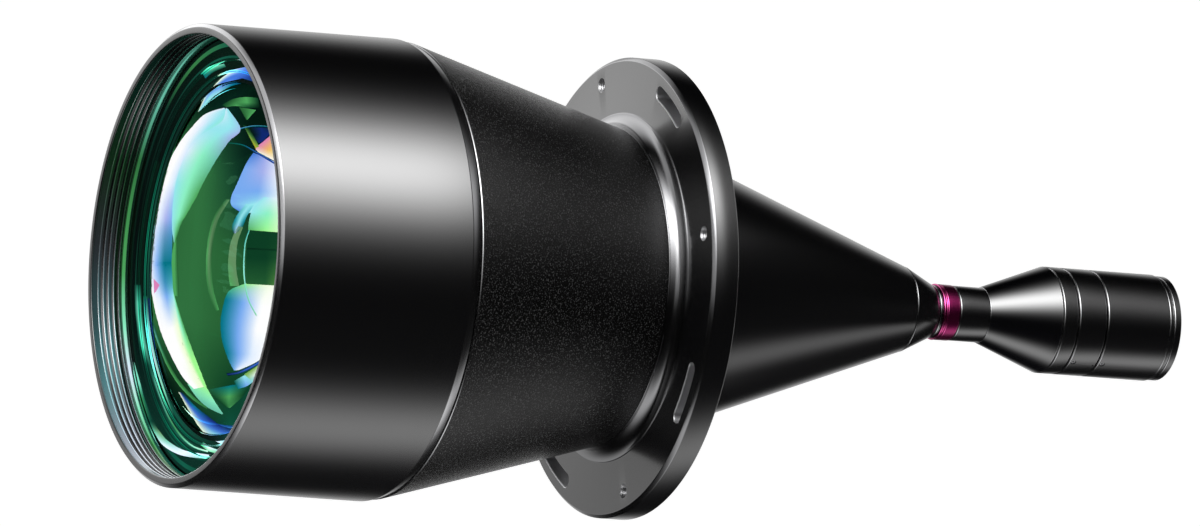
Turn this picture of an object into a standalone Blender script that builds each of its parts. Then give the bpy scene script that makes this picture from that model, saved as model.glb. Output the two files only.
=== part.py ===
"""Bi-telecentric lens, modelled as the turned pieces it is built from.

The optical axis runs along +Y, from the large front glass to the camera end.
The origin is on the axis, in the rear seating face of the mounting flange.
"""

import math

import bmesh
import bpy
from mathutils import Matrix

MM = 0.001

# Clearances and facets
FIT_GAP = 0.3 * MM
LARGE_SIDES = 48
SMALL_SIDES = 32
BORE_SIDES = 12

# Diameter that the front hood and the mounting flange share
BODY_DIAMETER = 200.0 * MM

# Mounting flange
FLANGE_THICKNESS = 12.4 * MM
FLANGE_FRONT_CHAMFER = 1.5 * MM
FLANGE_REAR_CHAMFER = 0.5 * MM
COVE_LENGTH = 6.4 * MM
COVE_REACH = 6.2 * MM
COVE_RELIEF = 0.5 * MM
PATTERN_EDGE_DISTANCE = 9.0 * MM
SLOT_COUNT = 4
SLOT_WIDTH = 6.0 * MM
SLOT_SWEEP = math.radians(14.4)
HOLE_DIAMETER = 5.6 * MM

# Front hood
HOOD_LENGTH = 94.7 * MM
RIM_CHAMFER = 2.1 * MM
RIM_FACE_WIDTH = 2.1 * MM
MOUTH_CHAMFER = 0.5 * MM
MOUTH_WALL_DEPTH = 4.8 * MM
MOUTH_GROOVE_COUNT = 4
MOUTH_GROOVE_PITCH = 2.45 * MM
MOUTH_GROOVE_WIDTH = 1.8 * MM
MOUTH_GROOVE_DEPTH = 0.9 * MM
HOOD_BEVEL_LENGTH = 4.1 * MM
HOOD_BEVEL_DROP = 1.2 * MM

# Front cone
FRONT_CONE_LENGTH = 102.5 * MM
FRONT_CONE_REAR_DIAMETER = 139.2 * MM
FRONT_CONE_WALL = 4.5 * MM
CONE_EDGE_DROP = 0.8 * MM
CONE_EDGE_CHAMFER = 0.7 * MM
JOINT_GROOVE = 0.6 * MM
FRONT_SPIGOT_LENGTH = 9.0 * MM
FRONT_SPIGOT_WALL = 3.5 * MM
FLANGE_SPIGOT_LENGTH = 7.5 * MM
FLANGE_SPIGOT_WALL = 3.5 * MM
FRONT_BAFFLE_SETBACK = 52.0 * MM

# Front lens group, with the cell that carries it inside the hood
CELL_SETBACK = 0.3 * MM
CELL_WALL = 9.2 * MM
SHOULDER_THICKNESS = 6.0 * MM
SHOULDER_WIDTH = 6.0 * MM
RETAINER_FACE_DEPTH = 18.0 * MM
RETAINER_FACE_WIDTH = 9.5 * MM
RETAINER_STEP_WIDTH = 5.0 * MM
RETAINER_STEP_DEPTH = 0.6 * MM
RETAINER_LIP = 0.4 * MM
RETAINER_OVERLAP = 10.0 * MM
RETAINER_CLEARANCE = 0.4 * MM
FRONT_LENS_RADIUS = 190.0 * MM
FRONT_LENS_EDGE = 12.0 * MM
SPACER_LENGTH = 7.0 * MM
SPACER_WALL = 6.0 * MM
CROWN_FRONT_RADIUS = 900.0 * MM
CEMENT_RADIUS = 420.0 * MM
CROWN_EDGE = 5.0 * MM
FLINT_REAR_RADIUS = 3500.0 * MM
FLINT_EDGE = 17.0 * MM

# Rear cone and nose
REAR_CONE_FRONT_DIAMETER = 130.0 * MM
REAR_CONE_REAR_DIAMETER = 37.6 * MM
REAR_CONE_LENGTH = 125.8 * MM
REAR_CONE_WALL = 4.0 * MM
REAR_CONE_SEAT_DEPTH = 1.5 * MM
REAR_SPIGOT_LENGTH = 8.0 * MM
REAR_SPIGOT_WALL = 3.5 * MM
REAR_BAFFLE_SETBACK = 60.0 * MM
NOSE_LENGTH = 14.3 * MM
NOSE_REAR_DIAMETER = 23.0 * MM
NOSE_SPIGOT_LENGTH = 6.0 * MM
NOSE_SPIGOT_WALL = 2.0 * MM
BAFFLE_THICKNESS = 2.0 * MM
BAFFLE_WIDTH = 6.0 * MM

# Neck, with its lock ring and coloured ring
NECK_DIAMETER = 24.0 * MM
NECK_LENGTH = 14.2 * MM
NECK_BORE = 15.0 * MM
NECK_CHAMFER = 0.5 * MM
RING_SEAT_DIAMETER = 19.6 * MM
NOSE_SOCKET_DEPTH = 8.0 * MM
LOCK_RING_DIAMETER = 23.2 * MM
LOCK_RING_LENGTH = 1.1 * MM
APERTURE_RING_DIAMETER = 24.4 * MM
APERTURE_RING_LENGTH = 7.6 * MM
APERTURE_RING_LIP = 0.6 * MM
APERTURE_RING_LIP_RISE = 0.1 * MM
APERTURE_RING_DIP = 0.7 * MM
STOP_THICKNESS = 1.2 * MM
STOP_APERTURE = 7.0 * MM
STOP_DEPTH = 12.0 * MM

# Rear taper and the rings behind it
TAPER_LENGTH = 30.1 * MM
TAPER_WALL = 3.0 * MM
TAPER_FRONT_STEP = 0.2 * MM
BARREL_DIAMETER = 46.6 * MM
RING_WALL = 2.8 * MM
SLEEVE_WALL = 2.2 * MM
SLEEVE_OVERLAP = 12.0 * MM
GROOVE_WIDTH = 0.6 * MM
RING_CHAMFER = 0.4 * MM
COLLAR_LENGTH = 7.0 * MM
ADJUST_RING_LENGTH = 13.3 * MM
BARREL_LENGTH = 30.1 * MM
SCREW_AZIMUTH = math.radians(110.2)
SCREW_HOLE_DIAMETER = 2.4 * MM
ADJUST_SCREW_SETBACK = 2.1 * MM
BARREL_SCREW_SETBACK = 2.2 * MM
SCREW_HEX = 1.0 * MM
SCREW_HEX_DEPTH = 1.0 * MM
INDEX_DOT_DIAMETER = 0.9 * MM
INDEX_DOT_DEPTH = 0.4 * MM
INDEX_DOT_SETBACK = 1.3 * MM
INDEX_DOT_AZIMUTH = math.radians(113.3)

# Rear lens group and camera end
REAR_LENS_RADIUS = 46.0 * MM
REAR_LENS_EDGE = 3.0 * MM
REAR_SPACER_LENGTH = 3.0 * MM
REAR_SPACER_WALL = 1.8 * MM
REAR_RETAINER_LENGTH = 2.0 * MM
REAR_RETAINER_WALL = 1.8 * MM
CAMERA_RING_SPIGOT = 6.0 * MM
CAMERA_RING_SPIGOT_WALL = 2.0 * MM
CAMERA_RING_STEP_DROP = 1.1 * MM
CAMERA_RING_FIRST_STEP = 1.7 * MM
CAMERA_RING_GROOVE = 0.6 * MM
CAMERA_RING_GROOVE_DEPTH = 0.6 * MM
CAMERA_RING_SECOND_STEP = 3.3 * MM
CAMERA_RING_CHAMFER = 0.3 * MM

# Stations along the optical axis, from the seating face forwards
FLANGE_FRONT = -FLANGE_THICKNESS
COVE_FRONT = FLANGE_FRONT - COVE_LENGTH
FRONT_CONE_REAR = COVE_FRONT - FIT_GAP
FRONT_CONE_FRONT = FRONT_CONE_REAR - FRONT_CONE_LENGTH
HOOD_REAR = FRONT_CONE_FRONT - JOINT_GROOVE
HOOD_FRONT = HOOD_REAR - HOOD_LENGTH

# Stations along the optical axis, from the seating face backwards
REAR_CONE_FRONT = FIT_GAP
REAR_CONE_REAR = REAR_CONE_FRONT + REAR_CONE_LENGTH
NOSE_FRONT = REAR_CONE_REAR + FIT_GAP
NOSE_REAR = NOSE_FRONT + NOSE_LENGTH
LOCK_RING_FRONT = NOSE_REAR + FIT_GAP
LOCK_RING_REAR = LOCK_RING_FRONT + LOCK_RING_LENGTH
APERTURE_RING_FRONT = LOCK_RING_REAR + FIT_GAP
APERTURE_RING_REAR = APERTURE_RING_FRONT + APERTURE_RING_LENGTH
NECK_FRONT = APERTURE_RING_REAR + FIT_GAP
NECK_REAR = NECK_FRONT + NECK_LENGTH
TAPER_FRONT = NECK_REAR + FIT_GAP
TAPER_REAR = TAPER_FRONT + TAPER_LENGTH
COLLAR_FRONT = TAPER_REAR + FIT_GAP
COLLAR_REAR = COLLAR_FRONT + COLLAR_LENGTH
ADJUST_RING_FRONT = COLLAR_REAR + GROOVE_WIDTH
ADJUST_RING_REAR = ADJUST_RING_FRONT + ADJUST_RING_LENGTH
BARREL_FRONT = ADJUST_RING_REAR + GROOVE_WIDTH
BARREL_REAR = BARREL_FRONT + BARREL_LENGTH
CAMERA_RING_FRONT = BARREL_REAR + FIT_GAP

# Radii that follow from the sizes above
HOOD_RADIUS = BODY_DIAMETER / 2
MOUTH_RADIUS = HOOD_RADIUS - RIM_CHAMFER - RIM_FACE_WIDTH
CELL_BORE = MOUTH_RADIUS - FIT_GAP - CELL_WALL
LENS_RADIUS = CELL_BORE - FIT_GAP
CLEAR_RADIUS = LENS_RADIUS - RETAINER_OVERLAP
CONE_FRONT_RADIUS = HOOD_RADIUS - CONE_EDGE_DROP
CONE_REAR_RADIUS = FRONT_CONE_REAR_DIAMETER / 2
FLANGE_RADIUS = BODY_DIAMETER / 2
PATTERN_RADIUS = FLANGE_RADIUS - PATTERN_EDGE_DISTANCE
FLANGE_SOCKET = CONE_REAR_RADIUS - FLANGE_SPIGOT_WALL
FLANGE_BORE = FLANGE_SOCKET - FLANGE_SPIGOT_WALL - FIT_GAP
REAR_CONE_LARGE = REAR_CONE_FRONT_DIAMETER / 2
REAR_CONE_SMALL = REAR_CONE_REAR_DIAMETER / 2
NOSE_SOCKET = REAR_CONE_SMALL - REAR_CONE_WALL
NECK_RADIUS = NECK_DIAMETER / 2
SEAT_RADIUS = RING_SEAT_DIAMETER / 2
BARREL_RADIUS = BARREL_DIAMETER / 2
RING_BORE = BARREL_RADIUS - RING_WALL
SLEEVE_RADIUS = RING_BORE - FIT_GAP
SLEEVE_BORE = SLEEVE_RADIUS - SLEEVE_WALL
REAR_LENS_EDGE_RADIUS = SLEEVE_BORE - FIT_GAP
SLEEVE_REAR = BARREL_FRONT + SLEEVE_OVERLAP

# Colours, from black anodising to coated glass
SATIN_BLACK = (0.012, 0.012, 0.013, 1.0)
GLOSS_BLACK = (0.008, 0.008, 0.009, 1.0)
TEXTURED_BLACK = (0.018, 0.018, 0.018, 1.0)
MATTE_BLACK = (0.005, 0.005, 0.005, 1.0)
MAGENTA = (0.27, 0.012, 0.11, 1.0)
STEEL = (0.32, 0.32, 0.33, 1.0)
FRONT_COATING = (0.62, 0.86, 0.74, 1.0)
REAR_COATING = (0.70, 0.74, 0.90, 1.0)


def clear_scene():
    """Removes every object that a new file opens with."""
    for item in list(bpy.data.objects):
        bpy.data.objects.remove(item)


def finish(name, colour, roughness, metallic=0.0, transmission=0.0):
    """Makes one material from a colour, a roughness and what it is made of."""
    material = bpy.data.materials.new(name)
    material.use_nodes = True
    shader = material.node_tree.nodes["Principled BSDF"]
    shader.inputs["Base Color"].default_value = colour
    shader.inputs["Roughness"].default_value = roughness
    shader.inputs["Metallic"].default_value = metallic
    shader.inputs["Transmission Weight"].default_value = transmission
    return material


def add_object(name, shape, material):
    """Turns a bmesh into a smooth-shaded object that carries its own material."""
    mesh = bpy.data.meshes.new(name)
    shape.to_mesh(mesh)
    shape.free()
    mesh.materials.append(material)
    mesh.shade_smooth()
    mesh.set_sharp_from_angle(angle=math.radians(25.0))
    item = bpy.data.objects.new(name, mesh)
    bpy.context.scene.collection.objects.link(item)
    return item


def turned(name, outline, sides, material):
    """Turns an outline of (radius, y) points once around the optical axis.

    An outline that starts and ends on the axis is left open there.
    """
    shape = bmesh.new()
    points = [shape.verts.new((radius, y, 0.0)) for radius, y in outline]
    edges = [shape.edges.new(pair) for pair in zip(points, points[1:])]
    if outline[0][0] > 0.0:
        edges.append(shape.edges.new((points[-1], points[0])))
    bmesh.ops.spin(
        shape,
        geom=points + edges,
        cent=(0.0, 0.0, 0.0),
        axis=(0.0, 1.0, 0.0),
        dvec=(0.0, 0.0, 0.0),
        angle=2 * math.pi,
        steps=sides,
        use_merge=True,
    )
    bmesh.ops.remove_doubles(shape, verts=shape.verts, dist=0.001 * MM)
    bmesh.ops.recalc_face_normals(shape, faces=shape.faces)
    return add_object(name, shape, material)


def sag(radius, curvature):
    """How far a spherical surface falls back at a radius from the axis."""
    return curvature - math.sqrt(curvature**2 - radius**2)


def surface(vertex, curvature, edge_radius, steps, hollow=False):
    """Points of a lens surface from the axis out, which bulges forwards or, hollow, backwards."""
    side = -1.0 if hollow else 1.0
    radii = [edge_radius * step / steps for step in range(steps + 1)]
    return [(radius, vertex + side * sag(radius, curvature)) for radius in radii]


def prism(outline, y_start, y_end):
    """Extrudes a closed outline of (x, z) points along the optical axis."""
    shape = bmesh.new()
    base = shape.faces.new([shape.verts.new((x, y_start, z)) for x, z in outline])
    raised = bmesh.ops.extrude_face_region(shape, geom=[base])["geom"]
    moved = [item for item in raised if isinstance(item, bmesh.types.BMVert)]
    bmesh.ops.translate(shape, verts=moved, vec=(0.0, y_end - y_start, 0.0))
    bmesh.ops.recalc_face_normals(shape, faces=shape.faces)
    return shape


def add_cutter(name, shapes):
    """Joins closed shapes into one hidden object that a Boolean takes away."""
    mesh = bpy.data.meshes.new(name)
    joined = bmesh.new()
    for shape in shapes:
        piece = bpy.data.meshes.new(name + "_piece")
        shape.to_mesh(piece)
        shape.free()
        joined.from_mesh(piece)
        bpy.data.meshes.remove(piece)
    joined.to_mesh(mesh)
    joined.free()
    cutter = bpy.data.objects.new(name, mesh)
    bpy.context.scene.collection.objects.link(cutter)
    cutter.hide_render = True
    cutter.display_type = "WIRE"
    return cutter


def cut(item, cutter):
    """Takes a cutter's shape out of an object."""
    boolean = item.modifiers.new("cut", "BOOLEAN")
    boolean.operation = "DIFFERENCE"
    boolean.solver = "EXACT"
    boolean.object = cutter


def around_axis(azimuth):
    """Rotation about the optical axis that carries +Z towards +X by an azimuth."""
    return Matrix.Rotation(azimuth, 4, "Y")


def circle_points(radius, count, centre_x=0.0, centre_z=0.0):
    """Corner points of a circle in the plane across the optical axis."""
    angles = [2 * math.pi * index / count for index in range(count)]
    return [
        (centre_x + radius * math.sin(angle), centre_z + radius * math.cos(angle))
        for angle in angles
    ]


def slot_points(pitch, width, sweep):
    """Outline of a slot with round ends, bent along the pitch circle about +Z."""
    arc_steps = 6
    end_steps = 5
    half_width = width / 2
    points = []
    for step in range(arc_steps + 1):
        angle = -sweep / 2 + sweep * step / arc_steps
        points.append(polar(pitch + half_width, angle))
    for step in range(1, end_steps):
        points.append(round_end(pitch, half_width, sweep / 2, math.pi * step / end_steps))
    for step in range(arc_steps + 1):
        angle = sweep / 2 - sweep * step / arc_steps
        points.append(polar(pitch - half_width, angle))
    for step in range(1, end_steps):
        points.append(
            round_end(pitch, half_width, -sweep / 2, math.pi + math.pi * step / end_steps)
        )
    return points


def polar(radius, angle):
    """A point (x, z) at an angle from +Z towards +X."""
    return (radius * math.sin(angle), radius * math.cos(angle))


def round_end(pitch, half_width, azimuth, turn):
    """A point on a slot's round end, which starts at the outer wall and turns to the inner one."""
    centre = polar(pitch, azimuth)
    offset = polar(half_width, azimuth + turn)
    return (centre[0] + offset[0], centre[1] + offset[1])


def radial_cylinder(radius, sides, inner, outer, azimuth, y):
    """A closed cylinder that stands on the axis's side, from an inner to an outer radius."""
    shape = bmesh.new()
    bmesh.ops.create_cone(
        shape,
        cap_ends=True,
        segments=sides,
        radius1=radius,
        radius2=radius,
        depth=outer - inner,
    )
    place = around_axis(azimuth) @ Matrix.Translation((0.0, y, (inner + outer) / 2))
    bmesh.ops.transform(shape, matrix=place, verts=shape.verts)
    return shape


def chamfered_ring(outer, inner, front, rear, chamfer):
    """Outline of a plain ring whose two outer corners are chamfered."""
    return [
        (inner, front),
        (outer - chamfer, front),
        (outer, front + chamfer),
        (outer, rear - chamfer),
        (outer - chamfer, rear),
        (inner, rear),
    ]


def make_front_hood(material):
    """The hood: a wide tube with a chamfered rim, a grooved mouth and a bevelled rear edge."""
    outline = [
        (MOUTH_RADIUS + MOUTH_CHAMFER, HOOD_FRONT),
        (HOOD_RADIUS - RIM_CHAMFER, HOOD_FRONT),
        (HOOD_RADIUS, HOOD_FRONT + RIM_CHAMFER),
        (HOOD_RADIUS, HOOD_REAR - HOOD_BEVEL_LENGTH),
        (HOOD_RADIUS - HOOD_BEVEL_DROP, HOOD_REAR),
        (MOUTH_RADIUS, HOOD_REAR),
    ]
    for groove in reversed(range(MOUTH_GROOVE_COUNT)):
        groove_front = HOOD_FRONT + MOUTH_WALL_DEPTH + groove * MOUTH_GROOVE_PITCH
        groove_rear = groove_front + MOUTH_GROOVE_WIDTH
        outline.append((MOUTH_RADIUS, groove_rear))
        outline.append((MOUTH_RADIUS + MOUTH_GROOVE_DEPTH, groove_rear))
        outline.append((MOUTH_RADIUS + MOUTH_GROOVE_DEPTH, groove_front))
        outline.append((MOUTH_RADIUS, groove_front))
    outline.append((MOUTH_RADIUS, HOOD_FRONT + MOUTH_CHAMFER))
    return turned("front_hood", outline, LARGE_SIDES, material)


def make_lens_cell(material):
    """The tube inside the hood that carries the front lens group on its rear shoulder."""
    outer = MOUTH_RADIUS - FIT_GAP
    shoulder = CELL_BORE - SHOULDER_WIDTH
    outline = [
        (CELL_BORE, RETAINER_SEAT),
        (outer, RETAINER_SEAT),
        (outer, GROUP_REAR + SHOULDER_THICKNESS),
        (shoulder, GROUP_REAR + SHOULDER_THICKNESS),
        (shoulder, GROUP_REAR),
        (CELL_BORE, GROUP_REAR),
    ]
    return turned("lens_cell", outline, LARGE_SIDES, material)


def make_retaining_ring(material):
    """The terraced ring that is threaded into the mouth and holds the front glass."""
    outer = MOUTH_RADIUS - FIT_GAP
    first = outer - RETAINER_FACE_WIDTH
    second = first - RETAINER_STEP_WIDTH
    face = HOOD_FRONT + RETAINER_FACE_DEPTH
    outline = [
        (outer, face),
        (outer, RETAINER_SEAT - FIT_GAP),
        (LENS_RADIUS, RETAINER_SEAT - FIT_GAP),
        (LENS_RADIUS, GLASS_EDGE - RETAINER_CLEARANCE),
        (CLEAR_RADIUS, RETAINER_INNER_FACE + RETAINER_LIP),
        (CLEAR_RADIUS, RETAINER_INNER_FACE),
        (second - RETAINER_STEP_DEPTH, RETAINER_INNER_FACE),
        (second, face + RETAINER_STEP_DEPTH),
        (first - RETAINER_STEP_DEPTH, face + RETAINER_STEP_DEPTH),
        (first, face),
    ]
    return turned("front_retaining_ring", outline, LARGE_SIDES, material)


def make_front_lens(material):
    """The large front glass: a strongly curved front, a ground edge and a flat rear."""
    outline = surface(FRONT_VERTEX, FRONT_LENS_RADIUS, LENS_RADIUS, 7)
    outline += [(LENS_RADIUS, FRONT_LENS_REAR), (0.0, FRONT_LENS_REAR)]
    return turned("front_lens", outline, LARGE_SIDES, material)


def make_lens_spacer(material):
    """The ring that keeps the doublet away from the front glass."""
    inner = LENS_RADIUS - SPACER_WALL
    outline = [
        (inner, SPACER_FRONT),
        (LENS_RADIUS, SPACER_FRONT),
        (LENS_RADIUS, SPACER_REAR),
        (inner, SPACER_REAR),
    ]
    return turned("lens_spacer", outline, LARGE_SIDES, material)


def make_doublet(crown_material, flint_material):
    """The doublet behind the front glass: a crown and the flint that it is cemented to."""
    crown = surface(CROWN_VERTEX, CROWN_FRONT_RADIUS, LENS_RADIUS, 4)
    crown += reversed(surface(CEMENT_VERTEX, CEMENT_RADIUS, LENS_RADIUS, 4, hollow=True))
    flint_front = CEMENT_VERTEX + FIT_GAP
    flint = surface(flint_front, CEMENT_RADIUS, LENS_RADIUS, 4, hollow=True)
    flint += reversed(surface(FLINT_REAR_VERTEX, FLINT_REAR_RADIUS, LENS_RADIUS, 2, hollow=True))
    return [
        turned("doublet_crown", crown, LARGE_SIDES, crown_material),
        turned("doublet_flint", flint, LARGE_SIDES, flint_material),
    ]


def radius_between(y, first, last):
    """Radius at a place on the straight line between two (radius, y) points."""
    share = (y - first[1]) / (last[1] - first[1])
    return first[0] + share * (last[0] - first[0])


def make_front_cone(material):
    """The textured cone, with a spigot for the hood and one for the flange."""
    front_spigot = MOUTH_RADIUS - FIT_GAP
    front_bore = FRONT_BORE_START[0]
    rear_spigot = FLANGE_SOCKET - FIT_GAP
    rear_bore = FRONT_BORE_END[0]
    large = (CONE_FRONT_RADIUS, FRONT_CONE_FRONT)
    small = (CONE_REAR_RADIUS, FRONT_CONE_REAR)
    chamfer_rear = FRONT_CONE_FRONT + CONE_EDGE_CHAMFER
    outline = [
        (front_bore, HOOD_REAR - FRONT_SPIGOT_LENGTH),
        (front_spigot, HOOD_REAR - FRONT_SPIGOT_LENGTH),
        (front_spigot, FRONT_CONE_FRONT),
        (CONE_FRONT_RADIUS - CONE_EDGE_CHAMFER, FRONT_CONE_FRONT),
        (radius_between(chamfer_rear, large, small), chamfer_rear),
        small,
        (rear_spigot, FRONT_CONE_REAR),
        (rear_spigot, COVE_FRONT + FLANGE_SPIGOT_LENGTH),
        (rear_bore, COVE_FRONT + FLANGE_SPIGOT_LENGTH),
        FRONT_BORE_END,
        FRONT_BORE_START,
    ]
    return turned("front_cone", outline, LARGE_SIDES, material)


def make_cone_baffle(name, y, bore_start, bore_end, material):
    """A thin light baffle that seats on the taper inside a cone."""
    front_edge = radius_between(y, bore_start, bore_end) - FIT_GAP
    rear_edge = radius_between(y + BAFFLE_THICKNESS, bore_start, bore_end) - FIT_GAP
    inner = rear_edge - BAFFLE_WIDTH
    outline = [
        (inner, y + BAFFLE_THICKNESS / 2),
        (front_edge, y),
        (rear_edge, y + BAFFLE_THICKNESS),
        (inner, y + BAFFLE_THICKNESS),
    ]
    return turned(name, outline, LARGE_SIDES, material)


def make_flange(material):
    """The mounting flange: coved collar, slots and holes alternating on one pitch circle."""
    cove_steps = 5
    cove = []
    for step in range(cove_steps + 1):
        turn = math.pi / 2 * step / cove_steps
        radius = CONE_REAR_RADIUS + COVE_REACH * (1.0 - math.cos(turn))
        cove.append((radius, COVE_FRONT + (COVE_LENGTH - COVE_RELIEF) * math.sin(turn)))
    cove_edge = CONE_REAR_RADIUS + COVE_REACH
    outline = [(FLANGE_SOCKET, COVE_FRONT)] + cove + [
        (cove_edge, FLANGE_FRONT),
        (FLANGE_RADIUS - FLANGE_FRONT_CHAMFER, FLANGE_FRONT),
        (FLANGE_RADIUS, FLANGE_FRONT + FLANGE_FRONT_CHAMFER),
        (FLANGE_RADIUS, -FLANGE_REAR_CHAMFER),
        (FLANGE_RADIUS - FLANGE_REAR_CHAMFER, 0.0),
        (REAR_CONE_LARGE + FIT_GAP, 0.0),
        (REAR_CONE_LARGE + FIT_GAP, -REAR_CONE_SEAT_DEPTH),
        (FLANGE_BORE, -REAR_CONE_SEAT_DEPTH),
        (FLANGE_BORE, COVE_FRONT + FLANGE_SPIGOT_LENGTH + FIT_GAP),
        (FLANGE_SOCKET, COVE_FRONT + FLANGE_SPIGOT_LENGTH + FIT_GAP),
    ]
    flange = turned("mounting_flange", outline, LARGE_SIDES, material)
    cut_front = FLANGE_FRONT - FLANGE_THICKNESS / 2
    cut_rear = FLANGE_THICKNESS / 2
    pitch_step = 2 * math.pi / SLOT_COUNT
    openings = []
    for index in range(SLOT_COUNT):
        slot = prism(slot_points(PATTERN_RADIUS, SLOT_WIDTH, SLOT_SWEEP), cut_front, cut_rear)
        place = around_axis(index * pitch_step)
        bmesh.ops.transform(slot, matrix=place, verts=slot.verts)
        openings.append(slot)
        centre = polar(PATTERN_RADIUS, (index + 0.5) * pitch_step)
        hole = circle_points(HOLE_DIAMETER / 2, BORE_SIDES, centre[0], centre[1])
        openings.append(prism(hole, cut_front, cut_rear))
    cut(flange, add_cutter("flange_openings", openings))
    return flange


def make_rear_cone(material):
    """The smooth cone behind the flange, seated in the flange with a spigot in its bore."""
    spigot = FLANGE_BORE - FIT_GAP
    bore = REAR_BORE_START[0]
    outline = [
        (bore, REAR_CONE_FRONT - REAR_SPIGOT_LENGTH),
        (spigot, REAR_CONE_FRONT - REAR_SPIGOT_LENGTH),
        (spigot, FIT_GAP - REAR_CONE_SEAT_DEPTH),
        (REAR_CONE_LARGE, FIT_GAP - REAR_CONE_SEAT_DEPTH),
        (REAR_CONE_LARGE, REAR_CONE_FRONT),
        (REAR_CONE_SMALL, REAR_CONE_REAR),
        (NOSE_SOCKET, REAR_CONE_REAR),
        REAR_BORE_END,
        REAR_BORE_START,
    ]
    return turned("rear_cone", outline, LARGE_SIDES, material)


def make_nose_cone(material):
    """The short steep cone that joins the rear cone to the neck."""
    spigot = NOSE_SOCKET - FIT_GAP
    bore = spigot - NOSE_SPIGOT_WALL
    socket = SEAT_RADIUS + FIT_GAP
    socket_front = NOSE_REAR - NOSE_SOCKET_DEPTH - FIT_GAP
    outline = [
        (bore, NOSE_FRONT - NOSE_SPIGOT_LENGTH),
        (spigot, NOSE_FRONT - NOSE_SPIGOT_LENGTH),
        (spigot, NOSE_FRONT),
        (REAR_CONE_SMALL, NOSE_FRONT),
        (NOSE_REAR_DIAMETER / 2, NOSE_REAR),
        (socket, NOSE_REAR),
        (socket, socket_front),
        (NECK_BORE / 2, socket_front),
    ]
    return turned("nose_cone", outline, SMALL_SIDES, material)


def make_lock_ring(material):
    """The thin polished ring between the nose and the coloured ring."""
    outer = LOCK_RING_DIAMETER / 2
    chamfer = LOCK_RING_LENGTH / 4
    inner = SEAT_RADIUS + FIT_GAP
    outline = chamfered_ring(outer, inner, LOCK_RING_FRONT, LOCK_RING_REAR, chamfer)
    return turned("lock_ring", outline, SMALL_SIDES, material)


def make_aperture_ring(material):
    """The coloured ring, with a lip at its front edge and a shallow dip behind the lip."""
    outer = APERTURE_RING_DIAMETER / 2
    lip_rear = APERTURE_RING_FRONT + APERTURE_RING_LIP
    outline = [
        (SEAT_RADIUS + FIT_GAP, APERTURE_RING_FRONT),
        (outer + APERTURE_RING_LIP_RISE, APERTURE_RING_FRONT),
        (outer + APERTURE_RING_LIP_RISE, lip_rear),
        (outer - APERTURE_RING_DIP, lip_rear + APERTURE_RING_DIP),
        (outer, lip_rear + 2 * APERTURE_RING_DIP),
        (outer, APERTURE_RING_REAR),
        (SEAT_RADIUS + FIT_GAP, APERTURE_RING_REAR),
    ]
    return turned("aperture_ring", outline, SMALL_SIDES, material)


def make_neck_tube(material):
    """The tube that carries the rings, reaches into the nose and holds the stop."""
    socket = TAPER_FRONT + TAPER_WALL
    outline = [
        (NECK_BORE / 2, NOSE_REAR - NOSE_SOCKET_DEPTH),
        (SEAT_RADIUS, NOSE_REAR - NOSE_SOCKET_DEPTH),
        (SEAT_RADIUS, NECK_FRONT),
        (NECK_RADIUS - NECK_CHAMFER, NECK_FRONT),
        (NECK_RADIUS, NECK_FRONT + NECK_CHAMFER),
        (NECK_RADIUS, NECK_REAR),
        (SEAT_RADIUS, NECK_REAR),
        (SEAT_RADIUS, socket),
        (NECK_BORE / 2, socket),
    ]
    return turned("neck_tube", outline, SMALL_SIDES, material)


def make_aperture_stop(material):
    """The thin disc with the limiting aperture, inside the neck."""
    outer = NECK_BORE / 2 - FIT_GAP
    front = NOSE_REAR - NOSE_SOCKET_DEPTH + STOP_DEPTH
    outline = [
        (STOP_APERTURE / 2, front + STOP_THICKNESS / 2),
        (outer, front),
        (outer, front + STOP_THICKNESS),
        (STOP_APERTURE / 2, front + STOP_THICKNESS),
    ]
    return turned("aperture_stop", outline, SMALL_SIDES, material)


def make_rear_taper(material):
    """The gloss cone that widens from the neck, and the sleeve that carries the rings."""
    front_radius = NECK_RADIUS + TAPER_FRONT_STEP
    socket = SEAT_RADIUS + FIT_GAP
    socket_rear = TAPER_FRONT + TAPER_WALL + FIT_GAP
    throat = NECK_BORE / 2
    outline = [
        (socket, TAPER_FRONT),
        (front_radius, TAPER_FRONT),
        (BARREL_RADIUS, TAPER_REAR - RING_CHAMFER),
        (BARREL_RADIUS - RING_CHAMFER, TAPER_REAR),
        (SLEEVE_RADIUS, TAPER_REAR),
        (SLEEVE_RADIUS, SLEEVE_REAR),
        (SLEEVE_BORE, SLEEVE_REAR),
        (SLEEVE_BORE, REAR_SEAT),
        (SLEEVE_BORE - REAR_SPACER_WALL, REAR_SEAT),
        (throat, socket_rear + TAPER_WALL),
        (throat, socket_rear),
        (socket, socket_rear),
    ]
    return turned("rear_taper", outline, SMALL_SIDES, material)


def make_sleeve_rings(material):
    """The plain collar and the adjusting ring, which sit on the taper's sleeve."""
    collar = chamfered_ring(BARREL_RADIUS, RING_BORE, COLLAR_FRONT, COLLAR_REAR, RING_CHAMFER)
    adjust = chamfered_ring(
        BARREL_RADIUS, RING_BORE, ADJUST_RING_FRONT, ADJUST_RING_REAR, RING_CHAMFER
    )
    turned("taper_collar", collar, SMALL_SIDES, material)
    ring = turned("adjusting_ring", adjust, SMALL_SIDES, material)
    dot = radial_cylinder(
        INDEX_DOT_DIAMETER / 2,
        BORE_SIDES,
        BARREL_RADIUS - INDEX_DOT_DEPTH,
        BARREL_RADIUS + RING_WALL,
        INDEX_DOT_AZIMUTH,
        ADJUST_RING_REAR - INDEX_DOT_SETBACK,
    )
    hole = screw_hole(ADJUST_RING_FRONT + ADJUST_SCREW_SETBACK)
    cut(ring, add_cutter("adjusting_ring_holes", [hole, dot]))
    return ring


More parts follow.
